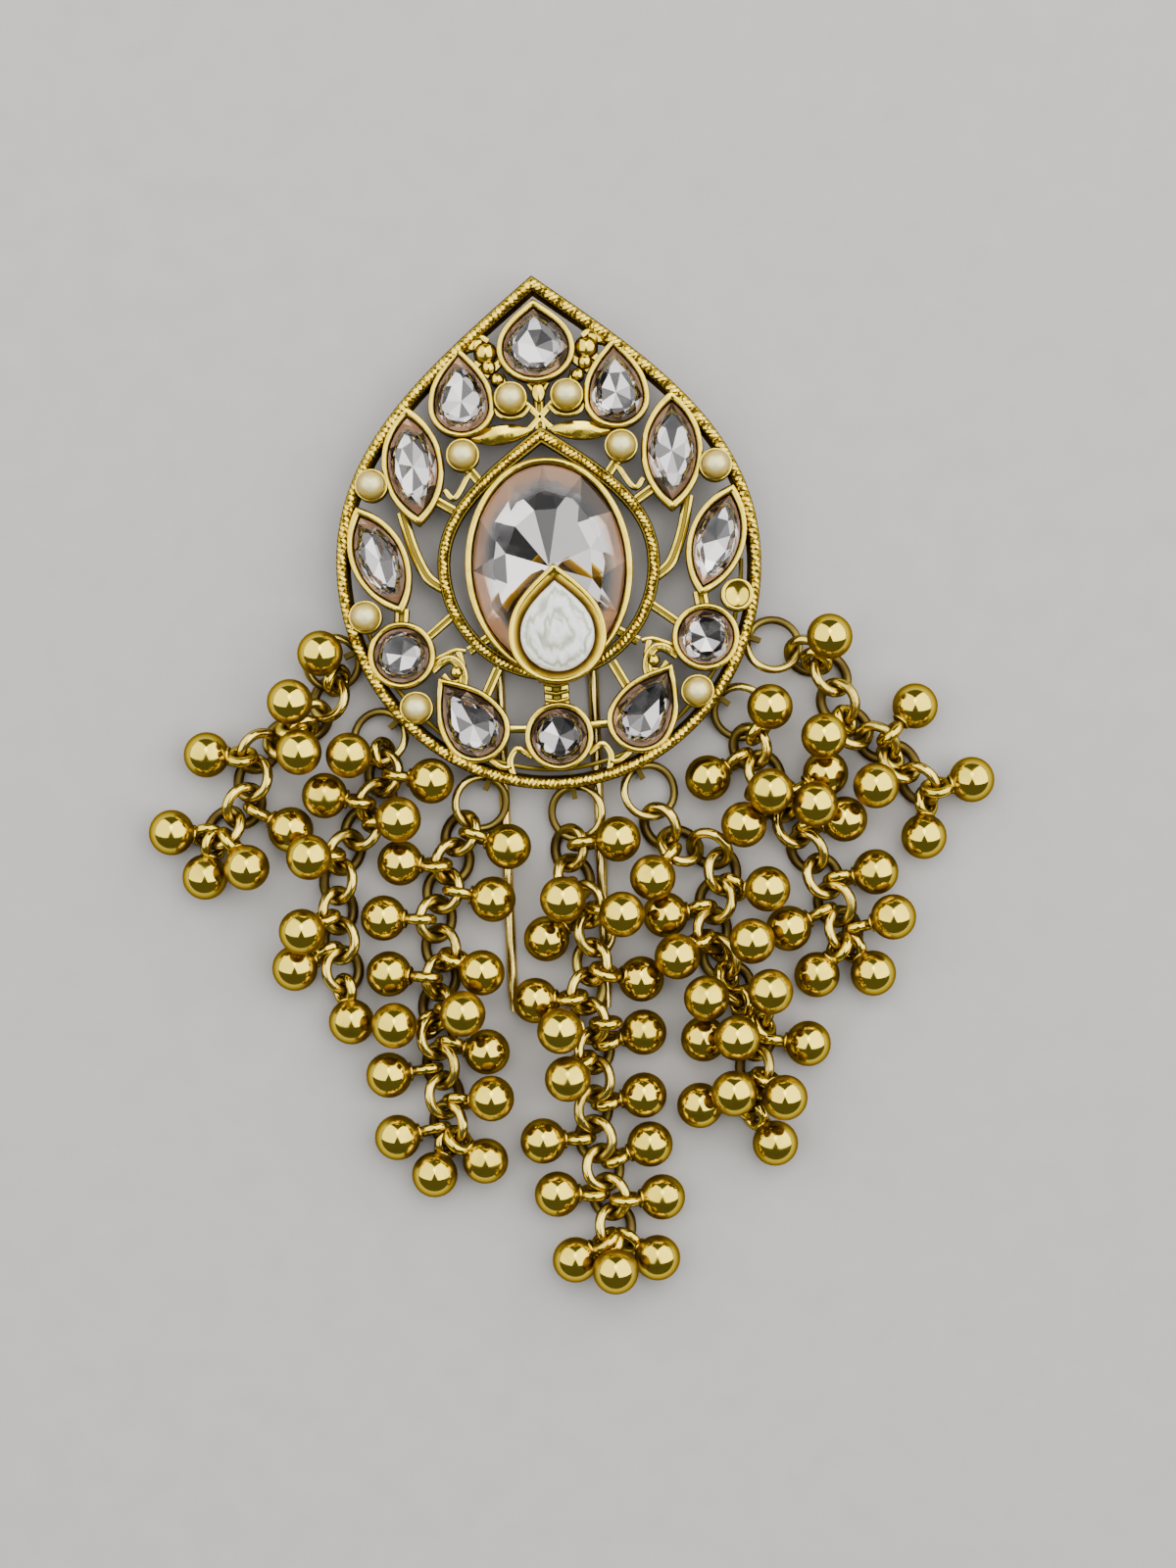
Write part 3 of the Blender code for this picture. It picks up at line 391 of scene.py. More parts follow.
wall = bmesh.new()
rope_seat = RIM_HEIGHT - ROPE_DROP
stack(wall, [lift(rim_plan(inset, 200), BACK + height) for inset, height in (
    (0.08, 0.0), (0.0, 0.1), (0.0, rope_seat - 0.1), (0.1, rope_seat), (RIM_WIDTH - 0.3, rope_seat),
    (RIM_WIDTH - 0.2, rope_seat - 0.1), (RIM_WIDTH, 0.4), (RIM_WIDTH, 0.1),
    (RIM_WIDTH - 0.08, 0.0))], ring=True)
rim_rope = rope(rim_plan(ROPE_INSET, 400), BACK + RIM_HEIGHT - ROPE_STRAND - ROPE_COIL,
                ROPE_STRAND, ROPE_COIL, ROPE_PITCH, rim_gold)
plaque_piece("rim", joined("rim", [mesh_of("wall", wall)] + rim_rope), rim_gold)

# The inner ring
# A smaller teardrop wall round the big stone, cast with the plaque, with a finer twisted wire
# on its top.
INNER_HALF_WIDTH = 9.7
INNER_RISE = 12.0
INNER_FALL = 10.2
INNER_WIDTH = 1.1
INNER_HEIGHT = 2.0
INNER_STRAND = 0.24
INNER_COIL = 0.17
INNER_PITCH = 0.85
INNER_DROP = 0.65


def inner_plan(inset, sides):
    return drop_plan(INNER_HALF_WIDTH - inset, INNER_RISE - inset * POINT_INSET,
                     INNER_FALL - inset, sides)


inner_gold = plaque_gold("inner_ring_gold", 1.3, 1.45, 0.6)
wall = bmesh.new()
rope_seat = INNER_HEIGHT - INNER_DROP
stack(wall, [lift(inner_plan(inset, 160), BACK + height) for inset, height in (
    (0.08, 0.1), (0.0, 0.2), (0.0, rope_seat - 0.1), (0.1, rope_seat),
    (INNER_WIDTH - 0.1, rope_seat), (INNER_WIDTH, rope_seat - 0.1), (INNER_WIDTH, 0.2),
    (INNER_WIDTH - 0.08, 0.1))], ring=True)
inner_rope = rope(inner_plan(INNER_WIDTH / 2, 300), BACK + INNER_HEIGHT - INNER_STRAND - INNER_COIL,
                  INNER_STRAND, INNER_COIL, INNER_PITCH, inner_gold)
plaque_piece("inner_ring", joined("inner_ring", [mesh_of("wall", wall)] + inner_rope), inner_gold)

# The settings
# Cups of polished sheet metal soldered between rim and inner ring, two by two and one at each
# end, with a rounded lip that holds a flat-backed stone. The big oval one is taller.
Setting = namedtuple("Setting", "name shape across along turn half_width rise fall")
SETTINGS = (
    Setting("top_drop_stone", "drop", 0.0, 18.7, 0, 3.4, 4.3, 3.0),
    Setting("upper_drop_stone", "drop", 6.75, 14.0, 0, 2.9, 5.2, 2.7),
    Setting("upper_navette_stone", "navette", 11.3, 9.1, 3, 2.7, 5.25, 5.25),
    Setting("lower_navette_stone", "navette", 14.7, 1.1, 20, 2.5, 5.1, 5.1),
    Setting("side_round_stone", "oval", 13.25, -7.25, 0, 2.95, 2.95, 2.95),
    Setting("lower_drop_stone", "drop", 7.15, -14.1, 33, 2.95, 5.6, 2.9),
    Setting("bottom_round_stone", "oval", 0.0, -15.1, 0, 3.0, 3.0, 3.0),
)
OVAL_SETTING = Setting("oval_stone", "oval", 0.0, OVAL_OFFSET, 0, 7.3, 9.5, 9.5)
SETTING_HEIGHT = 2.3
SETTING_WALL = 0.5
SETTING_FLOOR = 0.8
OVAL_HEIGHT = 2.8
OVAL_WALL = 0.6
NAVETTE_INSET = 1.7


def navette_plan(half_width, rise, fall, sides):
    """Two equal arcs that meet in a point at each end."""
    radius = (rise ** 2 + half_width ** 2) / (2 * half_width)
    spread = math.asin(rise / radius)
    turns = [spread * (2 * step / (sides // 2) - 1) for step in range(sides // 2)]
    right = [(radius * math.cos(t) - radius + half_width, radius * math.sin(t)) for t in turns]
    return right + [(-x, -y) for x, y in right]


def oval_plan(half_width, rise, fall, sides):
    turns = [math.tau * step / sides for step in range(sides)]
    return [(half_width * math.cos(t), rise * math.sin(t)) for t in turns]


def setting_plan(setting, side, inset, sides):
    """The setting's outline in the plaque's frame, drawn in by an inset."""
    plan_of, point, fall = {"drop": (drop_plan, POINT_INSET, 1.0), "oval": (oval_plan, 1.0, 1.0),
                            "navette": (navette_plan, NAVETTE_INSET, NAVETTE_INSET)}[setting.shape]
    points = plan_of(setting.half_width - inset, setting.rise - inset * point,
                     setting.fall - inset * fall, sides)
    turn = -math.radians(setting.turn)
    return [(side * (x * math.cos(turn) - y * math.sin(turn) + setting.across),
             x * math.sin(turn) + y * math.cos(turn) + setting.along) for x, y in points]


def sides_of(across):
    return (-1, 1) if across else (1,)


def cup(bm, plan_at, bottom, floor, top, wall):
    """A cup with a rounded lip."""
    lip = wall / 2
    profile = [(0.06, bottom), (0.0, bottom + 0.08), (0.0, top - lip * 0.8)]
    for step in range(1, 8):
        turn = math.pi * step / 8
        profile.append((lip - lip * math.cos(turn), top - lip * 0.8 + lip * 0.8 * math.sin(turn)))
    profile += [(wall, top - lip), (wall + 0.03, floor + 0.05), (wall + 0.08, floor)]
    stack(bm, [lift(plan_at(inset), height) for inset, height in profile])


cup_gold = plaque_gold("cup_gold", 0.9, 1.8, 0.85, 0.3)
cups = bmesh.new()
for row in SETTINGS:
    for side in sides_of(row.across):
        cup(cups, lambda inset: setting_plan(row, side, inset, 64), BACK, BACK + SETTING_FLOOR,
            BACK + SETTING_HEIGHT, SETTING_WALL)
cup(cups, lambda inset: setting_plan(OVAL_SETTING, 1, inset, 96), BACK, BACK + SETTING_FLOOR,
    BACK + OVAL_HEIGHT, OVAL_WALL)
plaque_piece("stone_cups", mesh_of("stone_cups", cups), cup_gold, 50)

# The cut stones
# Clear glass with a large table over a low back of radiating facets. The back is silver foil
# with copper lacquer at its edge, which gives the stones their pink rim. The oval's crown is a
# ring of plain facets.
STONE_GAP = 0.3
STONE_INSET = 0.1
GIRDLE = 0.7
CROWN = 1.1
OVAL_GIRDLE = 1.3
OVAL_CROWN = 0.9
GIRDLE_BAND = 0.07
TABLE_SHARE = 0.74
STAR_SHARE = 0.88
BREAK_SHARE = 0.58
BREAK_LEVEL = 0.4
BREAK_UNEVEN = 0.2
SMALL_CUTS = 8
OVAL_CUTS = 12
# Random painted shades of the back facets, standing for their dark and bright reflections.
PAINTED_FACET_SHADES = (0.15, 0.55, 0.8, 1.0)


def surface_mark(tree, name):
    return add_node(tree, "ShaderNodeAttribute", attribute_name=name).outputs["Fac"]


def colours(tree, value, *stops):
    """Colours that run through stops, each a place on the run and a colour."""
    ramp = add_node(tree, "ShaderNodeValToRGB", {0: value})
    marks = ramp.color_ramp.elements
    marks[0].position = stops[0][0]
    marks[1].position = stops[-1][0]
    for place, _ in stops[1:-1]:
        marks.new(place)
    for mark, (_, colour) in zip(marks, stops):
        mark.color = (*colour, 1)
    return ramp.outputs[0]


def clear_glass():
    material, tree = new_finish("clear_glass")
    wear = cloud(tree, object_place(tree), 1800.0, Detail=3.0)
    dress(tree, {"Roughness": fade(tree, wear, (0.5, 0.8), (0.0, 0.06)), "IOR": 1.5,
                 "Base Color": (1.0, 0.965, 0.945, 1), "Transmission Weight": 1.0})
    return material


def stone_foil():
    """Mirror foil that turns to copper lacquer at the edge, each facet with its own random painted
    shade that stands for the dark and bright reflections of the facets.
    """
    material, tree = new_finish("stone_foil")
    shade = maths(tree, "MULTIPLY_ADD", cloud(tree, object_place(tree), 700.0), 0.3,
                  surface_mark(tree, "edge"))
    colour = colours(tree, shade, (0.78, (0.72, 0.71, 0.71)), (1.0, (0.92, 0.55, 0.32)))
    shaded_foil = add_node(tree, "ShaderNodeHueSaturation", {"Color": colour,
                                                       "Value": surface_mark(tree, "tone")})
    dress(tree, {"Base Color": shaded_foil.outputs[0],
                 "Roughness": fade(tree, shade, (0.72, 1.05), (0.03, 0.14)),
                 "Metallic": fade(tree, shade, (0.68, 0.98), (1.0, 0.35))})
    return material


def centre_of(points):
    return sum((Vector(p) for p in points), Vector((0, 0))) / len(points)


def shrink(points, share):
    middle = centre_of(points)
    return [tuple(middle + (Vector(p) - middle) * share) for p in points]


def cut_stone(name, plan, cuts, bottom, girdle, table, plain_crown):
    """Flat table, crown facets that are plain or starred, and foiled long facets below."""
    bm = bmesh.new()
    edge_mark = bm.verts.layers.float.new("edge")
    facet_shade_mark = bm.faces.layers.float.new("tone")
    count = len(plan)
    step = count // cuts

    def row(points, height, mark, uneven=0.0):
        verts = []
        for x, y in points:
            verts.append(bm.verts.new((x, y, height + hand_cut.uniform(-uneven, uneven))))
            verts[-1][edge_mark] = mark
        return verts

    def between(share):
        loop = shrink(plan, share)
        return [loop[(step * i + step // 2) % count] for i in range(cuts)]

    def edge_level(k):
        """On a plain crown the girdle dips where it bulges past a facet's chord."""
        start, end = (Vector(plan[(k // step * step + shift) % count]) for shift in (0, step))
        across = Vector((end.y - start.y, start.x - end.x)).normalized()
        run = abs((start - centre_of(plan)).dot(across)) * (1 - TABLE_SHARE)
        return girdle - plain_crown * rise / run * abs((Vector(plan[k]) - start).dot(across))

    depth, rise = girdle - bottom, table - girdle
    tops = row(shrink([plan[step * i] for i in range(cuts)], TABLE_SHARE), table, 0.0)
    edge = row(plan, girdle, 1.0)
    base = row(plan, girdle, 1.0)
    for k in range(count):
        edge[k].co.z = edge_level(k)
        base[k].co.z = edge_level(k) - depth * GIRDLE_BAND
    under = row(between(BREAK_SHARE), bottom + depth * BREAK_LEVEL, 0.35, depth * BREAK_UNEVEN)
    point = row([tuple(centre_of(plan))], bottom, 0.0)[0]
    mids = [] if plain_crown else row(between(STAR_SHARE), girdle + rise * 0.5, 0.5)
    bm.faces.new(tops)
    foiled = []
    for i in range(count):
        j = (i + 1) % count
        foiled.append(bm.faces.new((base[i], base[j], edge[j], edge[i])))
    for i in range(cuts):
        j = (i + 1) % cuts
        first, last = step * i, (step * i + step) % count
        foiled.append(bm.faces.new([under[i], base[last]] + base[first:first + step][::-1]))
        if plain_crown:
            bm.faces.new([tops[j], tops[i]] + edge[first:first + step] + [edge[last]])
        else:
            bm.faces.new((tops[i], mids[i], tops[j]))
            for k in range(first, first + step):
                bm.faces.new((mids[i], edge[k], edge[(k + 1) % count]))
            bm.faces.new((tops[j], mids[i], edge[last]))
            bm.faces.new((tops[j], edge[last], mids[j]))
        foiled.append(bm.faces.new((under[j], under[i], point)))
        foiled.append(bm.faces.new((under[i], under[j], base[last])))
    bmesh.ops.recalc_face_normals(bm, faces=bm.faces)
    for face in foiled:
        face.material_index = 1
        # Each foiled facet gets a random painted shade.
        face[facet_shade_mark] = facet_shade_picker.choice(PAINTED_FACET_SHADES)
    mesh = bpy.data.meshes.new(name)
    bm.to_mesh(mesh)
    bm.free()
    return mesh


def set_stone(node, plan, cuts, bottom, girdle, table, plain_crown=False):
    finish_piece(node + "_cut", cut_stone(node, plan, cuts, bottom, girdle, table, plain_crown),
                 on_plaque, [glass, foil], [node], 0)


hand_cut = random.Random(5)
facet_shade_picker = random.Random(39287)
glass = clear_glass()
foil = stone_foil()
stone_foot = BACK + SETTING_FLOOR + STONE_GAP
for row in SETTINGS:
    for side in sides_of(row.across):
        plan = setting_plan(row, side, SETTING_WALL + STONE_INSET, 32)
        ending = "" if not row.across else ("_left" if side < 0 else "_right")
        girdle = stone_foot + GIRDLE
        set_stone(row.name + ending, plan[::side], SMALL_CUTS, stone_foot, girdle, girdle + CROWN)
plan = setting_plan(OVAL_SETTING, 1, OVAL_WALL + STONE_INSET, 48)
girdle = stone_foot + OVAL_GIRDLE
set_stone("oval_stone", plan, OVAL_CUTS, stone_foot, girdle, girdle + OVAL_CROWN, True)

# The raised cup and its milky stone
# A thick polished drop cup soldered over the lower end of the oval, on a foot from the oval's
# wall. Its stone is an uneven slice of milky glass over crinkled foil.
CUP_SETTING = Setting("kundan_stone", "drop", 0.4, -6.4, 0, 4.25, 6.2, 4.2)
CUP_LIP = 0.45
CUP_WALL = 1.0
CUP_HEIGHT = 1.9
CUP_FLOOR = 0.5
FOOT_LEVEL = 1.3
FOOT_SIZE = (1.5, 0.6)
MILKY_HEIGHT = 1.5
MILKY_UNEVEN = 0.14
CUP_BOTTOM = girdle + OVAL_CROWN + STONE_GAP


def milky_glass():
    """Cream glass with bands that follow the outline: the grey bands are painted shade in the
    crinkles, the straw and white ones the glass's own tint.
    """
    material, tree = new_finish("milky_glass")
    drawn = add_node(tree, "ShaderNodeMapping", {"Vector": object_place(tree),
                                                 "Scale": (1.0, 0.45, 1.0)})
    crinkle = cloud(tree, drawn.outputs[0], 800.0, Detail=4.0, Distortion=1.2)
    spread = maths(tree, "MULTIPLY_ADD", surface_mark(tree, "ring"), 17.0,
                   maths(tree, "MULTIPLY", crinkle, 11.0))
    crinkle_shade_bands = fade(tree, maths(tree, "SINE", spread), (-1.0, 1.0), (0.0, 1.0))
    # Grey stop: painted shade in the crinkles; straw and white stops: the glass's own colour.
    colour = colours(tree, crinkle_shade_bands, (0.0, (0.46, 0.48, 0.40)), (0.27, (0.82, 0.82, 0.58)),
                     (0.6, (1.0, 1.0, 0.97)))
    bump = add_node(tree, "ShaderNodeBump", {"Height": crinkle_shade_bands, "Strength": 0.5,
                                             "Distance": 0.0002})
    dress(tree, {"Base Color": colour, "Normal": bump.outputs[0], "Roughness": 0.1,
                 "Coat Weight": 1.0, "Coat Roughness": 0.03})
    return material


def block_plan(middle, half_width, half_length):
    return [(middle[0] + half_width * x, middle[1] + half_length * y)
            for x, y in ((-1, -1), (1, -1), (1, 1), (-1, 1))]


raised = bmesh.new()
cup_top = CUP_BOTTOM + CUP_HEIGHT
stack(raised, [lift(setting_plan(CUP_SETTING, 1, inset, 96), height) for inset, height in (
    (0.06, CUP_BOTTOM), (0.0, CUP_BOTTOM + 0.08), (0.0, cup_top - 0.25), (0.03, cup_top - 0.1),
    (0.12, cup_top - 0.02), (CUP_LIP / 2, cup_top), (CUP_LIP - 0.1, cup_top - 0.03),
    (CUP_LIP, cup_top - 0.12), (CUP_WALL - 0.06, cup_top - 0.62), (CUP_WALL, cup_top - 0.75),
    (CUP_WALL, CUP_BOTTOM + CUP_FLOOR))])
foot = block_plan((0, OVAL_OFFSET - OVAL_SETTING.fall), *FOOT_SIZE)
stack(raised, [lift(foot, BACK + FOOT_LEVEL), lift(foot, CUP_BOTTOM + CUP_FLOOR / 2)])
# The raised cup is painted dark brown below its lip and on its steep sides, as shade mixed with
# patina.
plaque_piece("raised_cup", mesh_of("raised_cup", raised),
             plaque_gold("raised_cup_gold", 4.9, 5.43, 0.6, 0.2, (0.24, 0.14, 0.03)), 50)

milky = bmesh.new()
loops = []
milky_foot = CUP_BOTTOM + CUP_FLOOR + STONE_GAP
edge_plan = setting_plan(CUP_SETTING, 1, CUP_WALL + 0.05, 96)
for share, rise in ((1.0, 0.0), (1.0, 0.5), (0.97, 0.66), (0.93, 0.74), (0.88, 0.8), (0.82, 0.85),
                    (0.75, 0.89), (0.67, 0.92), (0.58, 0.94), (0.49, 0.96), (0.4, 0.97),
                    (0.31, 0.98), (0.22, 0.99), (0.13, 1.0), (0.05, 1.0)):
    loop = lift(shrink(edge_plan, share), milky_foot + MILKY_HEIGHT * rise)
    for point in loop:
        if rise > 0.5:
            point.z += MILKY_UNEVEN * noise.noise(Vector((point.x * 1.5, point.y * 0.8, 3.0)))
            point.z = min(point.z, milky_foot + MILKY_HEIGHT)
    loops.append(loop)
stack(milky, loops)
milky_mesh = mesh_of("milky_drop", milky)
ring_mark = milky_mesh.attributes.new("ring", "FLOAT", "POINT")
for index, mark in enumerate(ring_mark.data):
    mark.value = index // len(edge_plan) / len(loops)
finish_piece("milky_drop", milky_mesh, on_plaque, [milky_glass()], ["kundan_stone"],
             60)

# The openwork
# Flat bars, leaves and grains cast between the cups. Their tops are polished and their sides and low
# parts are painted black as shade, mixed with patina.
BAR_LOW = 0.25
BAR_HIGH = 1.3
LEAF_LOW = 0.35
LEAF_HIGH = 1.5
GRAIN_LOW = 0.45
GRAIN_HIGH = 2.0
Bar = namedtuple("Bar", "width points")
BARS = (
    Bar(1.0, ((0.0, 15.95), (0.0, 11.2))),
    Bar(0.6, ((-1.5, 14.3), (1.4, 11.4))),
    Bar(2.0, ((3.4, 18.4), (4.9, 17.1))),
    Bar(1.1, ((3.4, 16.6), (2.4, 13.6))),
    Bar(0.9, ((6.6, 8.8), (5.7, 7.6))),
    Bar(0.5, ((6.4, 8.3), (7.8, 6.2), (8.7, 6.9))),
    Bar(0.9, ((9.4, 6.0), (7.7, 4.9))),
    Bar(1.0, ((12.5, 5.2), (11.9, 2.6), (11.2, 0.6), (10.4, -0.8), (9.0, -1.8))),
    Bar(1.3, ((13.0, -3.2), (13.2, -4.65))),
    Bar(0.8, ((8.6, -4.0), (10.9, -5.8))),
    Bar(0.6, ((8.3, -7.2), (8.0, -9.2), (9.0, -9.9), (9.8, -9.2))),
    Bar(0.9, ((5.0, -8.9), (6.25, -11.3))),
    Bar(0.9, ((5.7, -6.2), (7.4, -7.2))),
    Bar(2.2, ((0.0, -9.4), (0.0, -12.4))),
    Bar(0.7, ((2.7, -14.3), (4.6, -14.2))),
    Bar(0.6, ((2.5, -16.7), (3.7, -16.0), (4.4, -16.9), (4.2, -18.4))),
    Bar(0.5, ((4.3, -17.6), (5.2, -17.5), (6.1, -16.8))),
    Bar(0.45, ((10.5, -7.8), (9.7, -7.5), (8.6, -7.1), (7.7, -7.2))),
    Bar(0.35, ((0.0, 15.7), (0.85, 15.7))),
    Bar(0.35, ((0.85, 15.7), (0.0, 14.3))),
)
RAISED_BARS = (
    Bar(0.85, ((10.7, -8.7), (9.9, -8.1), (9.05, -7.85), (8.3, -8.4), (8.0, -9.3), (8.1, -10.2))),
    Bar(0.45, ((0.85, 13.75), (1.5, 13.05), (2.45, 12.8), (3.4, 13.05), (4.0, 13.75))),
    Bar(0.5, ((4.1, 19.6), (4.8, 20.0), (5.5, 19.7), (5.7, 19.0))),
    Bar(0.4, ((0.0, -10.7), (1.0, -10.5))),
    Bar(0.4, ((0.0, -11.4), (1.0, -11.2))),
    Bar(0.4, ((0.0, -12.1), (1.0, -11.9))),
)
RAISED_LOW = 1.0
RAISED_HIGH = 1.75
GROOVED_WIDTH = 0.8
GROOVE = 0.4
LEDGE_INSET = 1.75
LEDGE_LEVEL = 0.75
LEDGE_RADIUS = 0.2
LEDGE_START = 106
Leaf = namedtuple("Leaf", "half_width start end")
LEAVES = (
    Leaf(0.85, (0.6, 11.7), (6.4, 11.2)),
    Leaf(0.8, (4.4, 20.3), (6.6, 19.0)),
    Leaf(0.6, (0.0, 15.9), (0.0, 13.9)),
)
Grain = namedtuple("Grain", "radius across along")
GRAINS = (
    Grain(1.05, 4.4, 18.6),
    Grain(0.65, 4.2, 17.3),
    Grain(0.6, 3.5, 16.2),
    Grain(0.55, 8.6, -9.0),
)


def smooth_points(points, steps):
    """More points along a smooth curve through the given ones."""
    if len(points) < 3:
        return [Vector(p) for p in points]
    knots = [Vector(p) for p in points]
    knots = [knots[0] * 2 - knots[1]] + knots + [knots[-1] * 2 - knots[-2]]
    made = []
    for a, b, c, d in zip(knots, knots[1:], knots[2:], knots[3:]):
        for i in range(steps):
            t = i / steps
            made.append(0.5 * (2 * b + (c - a) * t + (2 * a - 5 * b + 4 * c - d) * t * t
                               + (3 * b - a - 3 * c + d) * t ** 3))
    return made + [knots[-2]]


def round_bar(bm, points, width, low, high):
    """A bar with a rounded top through smoothed points; a wide one is grooved along its middle."""
    path = smooth_points(points, 6)
    half = width / 2
    soft = min(half * 0.6, 0.3)
    right = [(half, low), (half, high - soft), (half - soft * 0.3, high - soft * 0.3),
             (half - soft, high)]
    if width >= GROOVED_WIDTH:
        right += [(half * 0.38, high), (half * 0.25, high - GROOVE)]
    section = right + [(-shift, height) for shift, height in right[::-1]]
    loops = []
    for i, point in enumerate(path):
        ahead = (path[min(i + 1, len(path) - 1)] - path[max(i - 1, 0)]).normalized()
        aside = Vector((-ahead.y, ahead.x))
        loops.append([Vector((*(point + aside * shift), height)) for shift, height in section])
    stack(bm, loops)


def cast_leaf(bm, start, end, half_width, low, high):
    """A pointed leaf with a raised rib."""
    start, end = Vector(start), Vector(end)
    middle, ahead = (start + end) / 2, (end - start) / 2
    aside = Vector((-ahead.y, ahead.x)).normalized()
    way = ahead.normalized()
    plan = [tuple(middle + way * y + aside * x)
            for x, y in navette_plan(half_width, ahead.length, 0, 20)]
    stack(bm, [lift(plan, low), lift(plan, high - 0.15), lift(shrink(plan, 0.85), high),
               lift(shrink(plan, 0.5), high + 0.04), lift(shrink(plan, 0.15), high + 0.12)])


def disc(middle, radius, sides=32):
    return [(middle[0] + x, middle[1] + y) for x, y in oval_plan(radius, radius, radius, sides)]


def cast_grain(bm, place, radius, low, top):
    """A half round grain on a straight foot."""
    profile = [(radius, low)]
    for step in range(7):
        turn = math.pi / 2 * step / 6.6
        profile.append((radius * math.cos(turn),
                        top - radius * 0.75 + radius * 0.75 * math.sin(turn)))
    stack(bm, [lift(disc(place, width, 18), height) for width, height in profile])


def round_wire(bm, points, radii, sides=14):
    """A wire with round section along points in space."""
    loops = []
    for i, (point, radius) in enumerate(zip(points, radii)):
        ahead = (points[min(i + 1, len(points) - 1)] - points[max(i - 1, 0)]).normalized()
        aside = ahead.cross(Vector((0, 0, 1)))
        aside = aside.normalized() if aside.length > 0.01 else Vector((1, 0, 0))
        upward = aside.cross(ahead)
        loops.append([point + (aside * math.cos(t) + upward * math.sin(t)) * radius
                      for t in [math.tau * k / sides for k in range(sides)]])
    stack(bm, loops)


def on_side(side, points):
    return [(side * x, y) for x, y in points]


openwork = bmesh.new()
for bars, low, high in ((BARS, BAR_LOW, BAR_HIGH), (RAISED_BARS, RAISED_LOW, RAISED_HIGH)):
    for bar in bars:
        for side in sides_of(any(x for x, _ in bar.points)):
            round_bar(openwork, on_side(side, bar.points), bar.width, BACK + low, BACK + high)
for leaf in LEAVES:
    for side in sides_of(leaf.start[0] + leaf.end[0]):
        cast_leaf(openwork, *on_side(side, (leaf.start, leaf.end)), leaf.half_width,
                  BACK + LEAF_LOW, BACK + LEAF_HIGH)
for grain in GRAINS:
    for side in (-1, 1):
        cast_grain(openwork, (side * grain.across, grain.along), grain.radius,
                   BACK + GRAIN_LOW, BACK + GRAIN_HIGH)
ledge = [Vector((*p, BACK + LEDGE_LEVEL)) for p in rim_plan(LEDGE_INSET, 200)[LEDGE_START:]]
round_wire(openwork, ledge, [LEDGE_RADIUS] * len(ledge), 8)
plaque_piece("openwork", mesh_of("openwork", openwork),
             plaque_gold("openwork_gold", 0.7, 1.3, 0.9, 0.35), 40)

# The half pearls and their cups
# Ten small cups stand as high as the rim. Nine hold a half pearl of coated plastic; the last one
# on the right has lost its pearl and shows its floor.
PearlPlace = namedtuple("PearlPlace", "across along right_is_empty")
PEARL_PLACES = (
    PearlPlace(2.45, 14.5, False),
    PearlPlace(6.9, 9.8, False),
    PearlPlace(15.0, 7.65, False),
    PearlPlace(16.2, -3.75, True),
    PearlPlace(12.25, -11.9, False),
)
PEARL_RADIUS = 1.3
PEARL_HEIGHT = 1.5
PEARL_STEPS = 10
PEARL_CUP_RADIUS = 1.45
PEARL_CUP_WALL = 0.25
PEARL_CUP_DEPTH = 0.15
EMPTY_CUP_WALL = 0.4
EMPTY_CUP_DEPTH = 0.7
PEARL_CUP_TOP = BACK + RIM_HEIGHT + 0.05


def pearl_coat():
    """Cream on top, going to dark gold at the foot: painted shade and a painted reflection of the
    gold round it, over the pearl's own cream, under a glossy coat.
    """
    material, tree = new_finish("pearl_coat")
    place = object_place(tree)
    foot = (PEARL_CUP_TOP + STONE_GAP) * 0.001
    rise = fade(tree, upward_part(tree, place), (foot, foot + PEARL_HEIGHT * 0.001), (0.0, 1.0))
    shade = maths(tree, "MULTIPLY_ADD", cloud(tree, place, 500.0, Detail=2.0), 0.2, rise)
    # Height ramp: the dark and gold low stops are painted shade and a painted reflection of the cup;
    # the cream top is the pearl's own colour.
    colour = colours(tree, shade, (0.5, (0.38, 0.25, 0.03)), (0.9, (0.82, 0.63, 0.14)),
                     (1.0, (1.0, 0.90, 0.40)))
    dress(tree, {"Base Color": colour, "Roughness": 0.38, "Metallic": 0.35, "Coat Weight": 0.9,
                 "Coat Roughness": 0.06})
    return material


pearl_cups = bmesh.new()
pearly = pearl_coat()
number = 0
for place in PEARL_PLACES:
    for side in (-1, 1):
        middle = (side * place.across, place.along)
        empty = side > 0 and place.right_is_empty
        cup(pearl_cups, lambda inset: disc(middle, PEARL_CUP_RADIUS - inset), BACK + 0.1,
            PEARL_CUP_TOP - (EMPTY_CUP_DEPTH if empty else PEARL_CUP_DEPTH), PEARL_CUP_TOP,
            EMPTY_CUP_WALL if empty else PEARL_CUP_WALL)
        if empty:
            continue
        number += 1
        pearl = bmesh.new()
        turns = [math.pi / 2 * step / PEARL_STEPS for step in range(PEARL_STEPS)]
        stack(pearl, [lift(disc(middle, PEARL_RADIUS * math.cos(turn)),
                           PEARL_CUP_TOP + STONE_GAP + PEARL_HEIGHT * math.sin(turn))
                      for turn in turns])
        finish_piece(f"half_pearl_{number}", mesh_of("pearl", pearl), on_plaque, [pearly],
                     [f"pearl_{number}"], 60)
plaque_piece("pearl_cups", mesh_of("pearl_cups", pearl_cups),
             plaque_gold("pearl_cup_gold", 1.0, 1.9), 50)

# The U pin and its pad
# One round wire bent to a U behind the plaque, pushed into the hair. It is soldered to a pad
# under the big oval cup.
PIN_RADIUS = 0.45
PIN_HALF = 4.125
PIN_LENGTH = 45.0
PIN_LEAN = math.radians(2.5)
PIN_BOW = Vector((-0.75, 6.4 - PIN_HALF - PIN_RADIUS))
PAD_SIZE = (2.5, 1.3)
PAD_LOW = 1.2


def pin_place(x, y):
    return PIN_BOW + Matrix.Rotation(PIN_LEAN, 2) @ Vector((x, y))


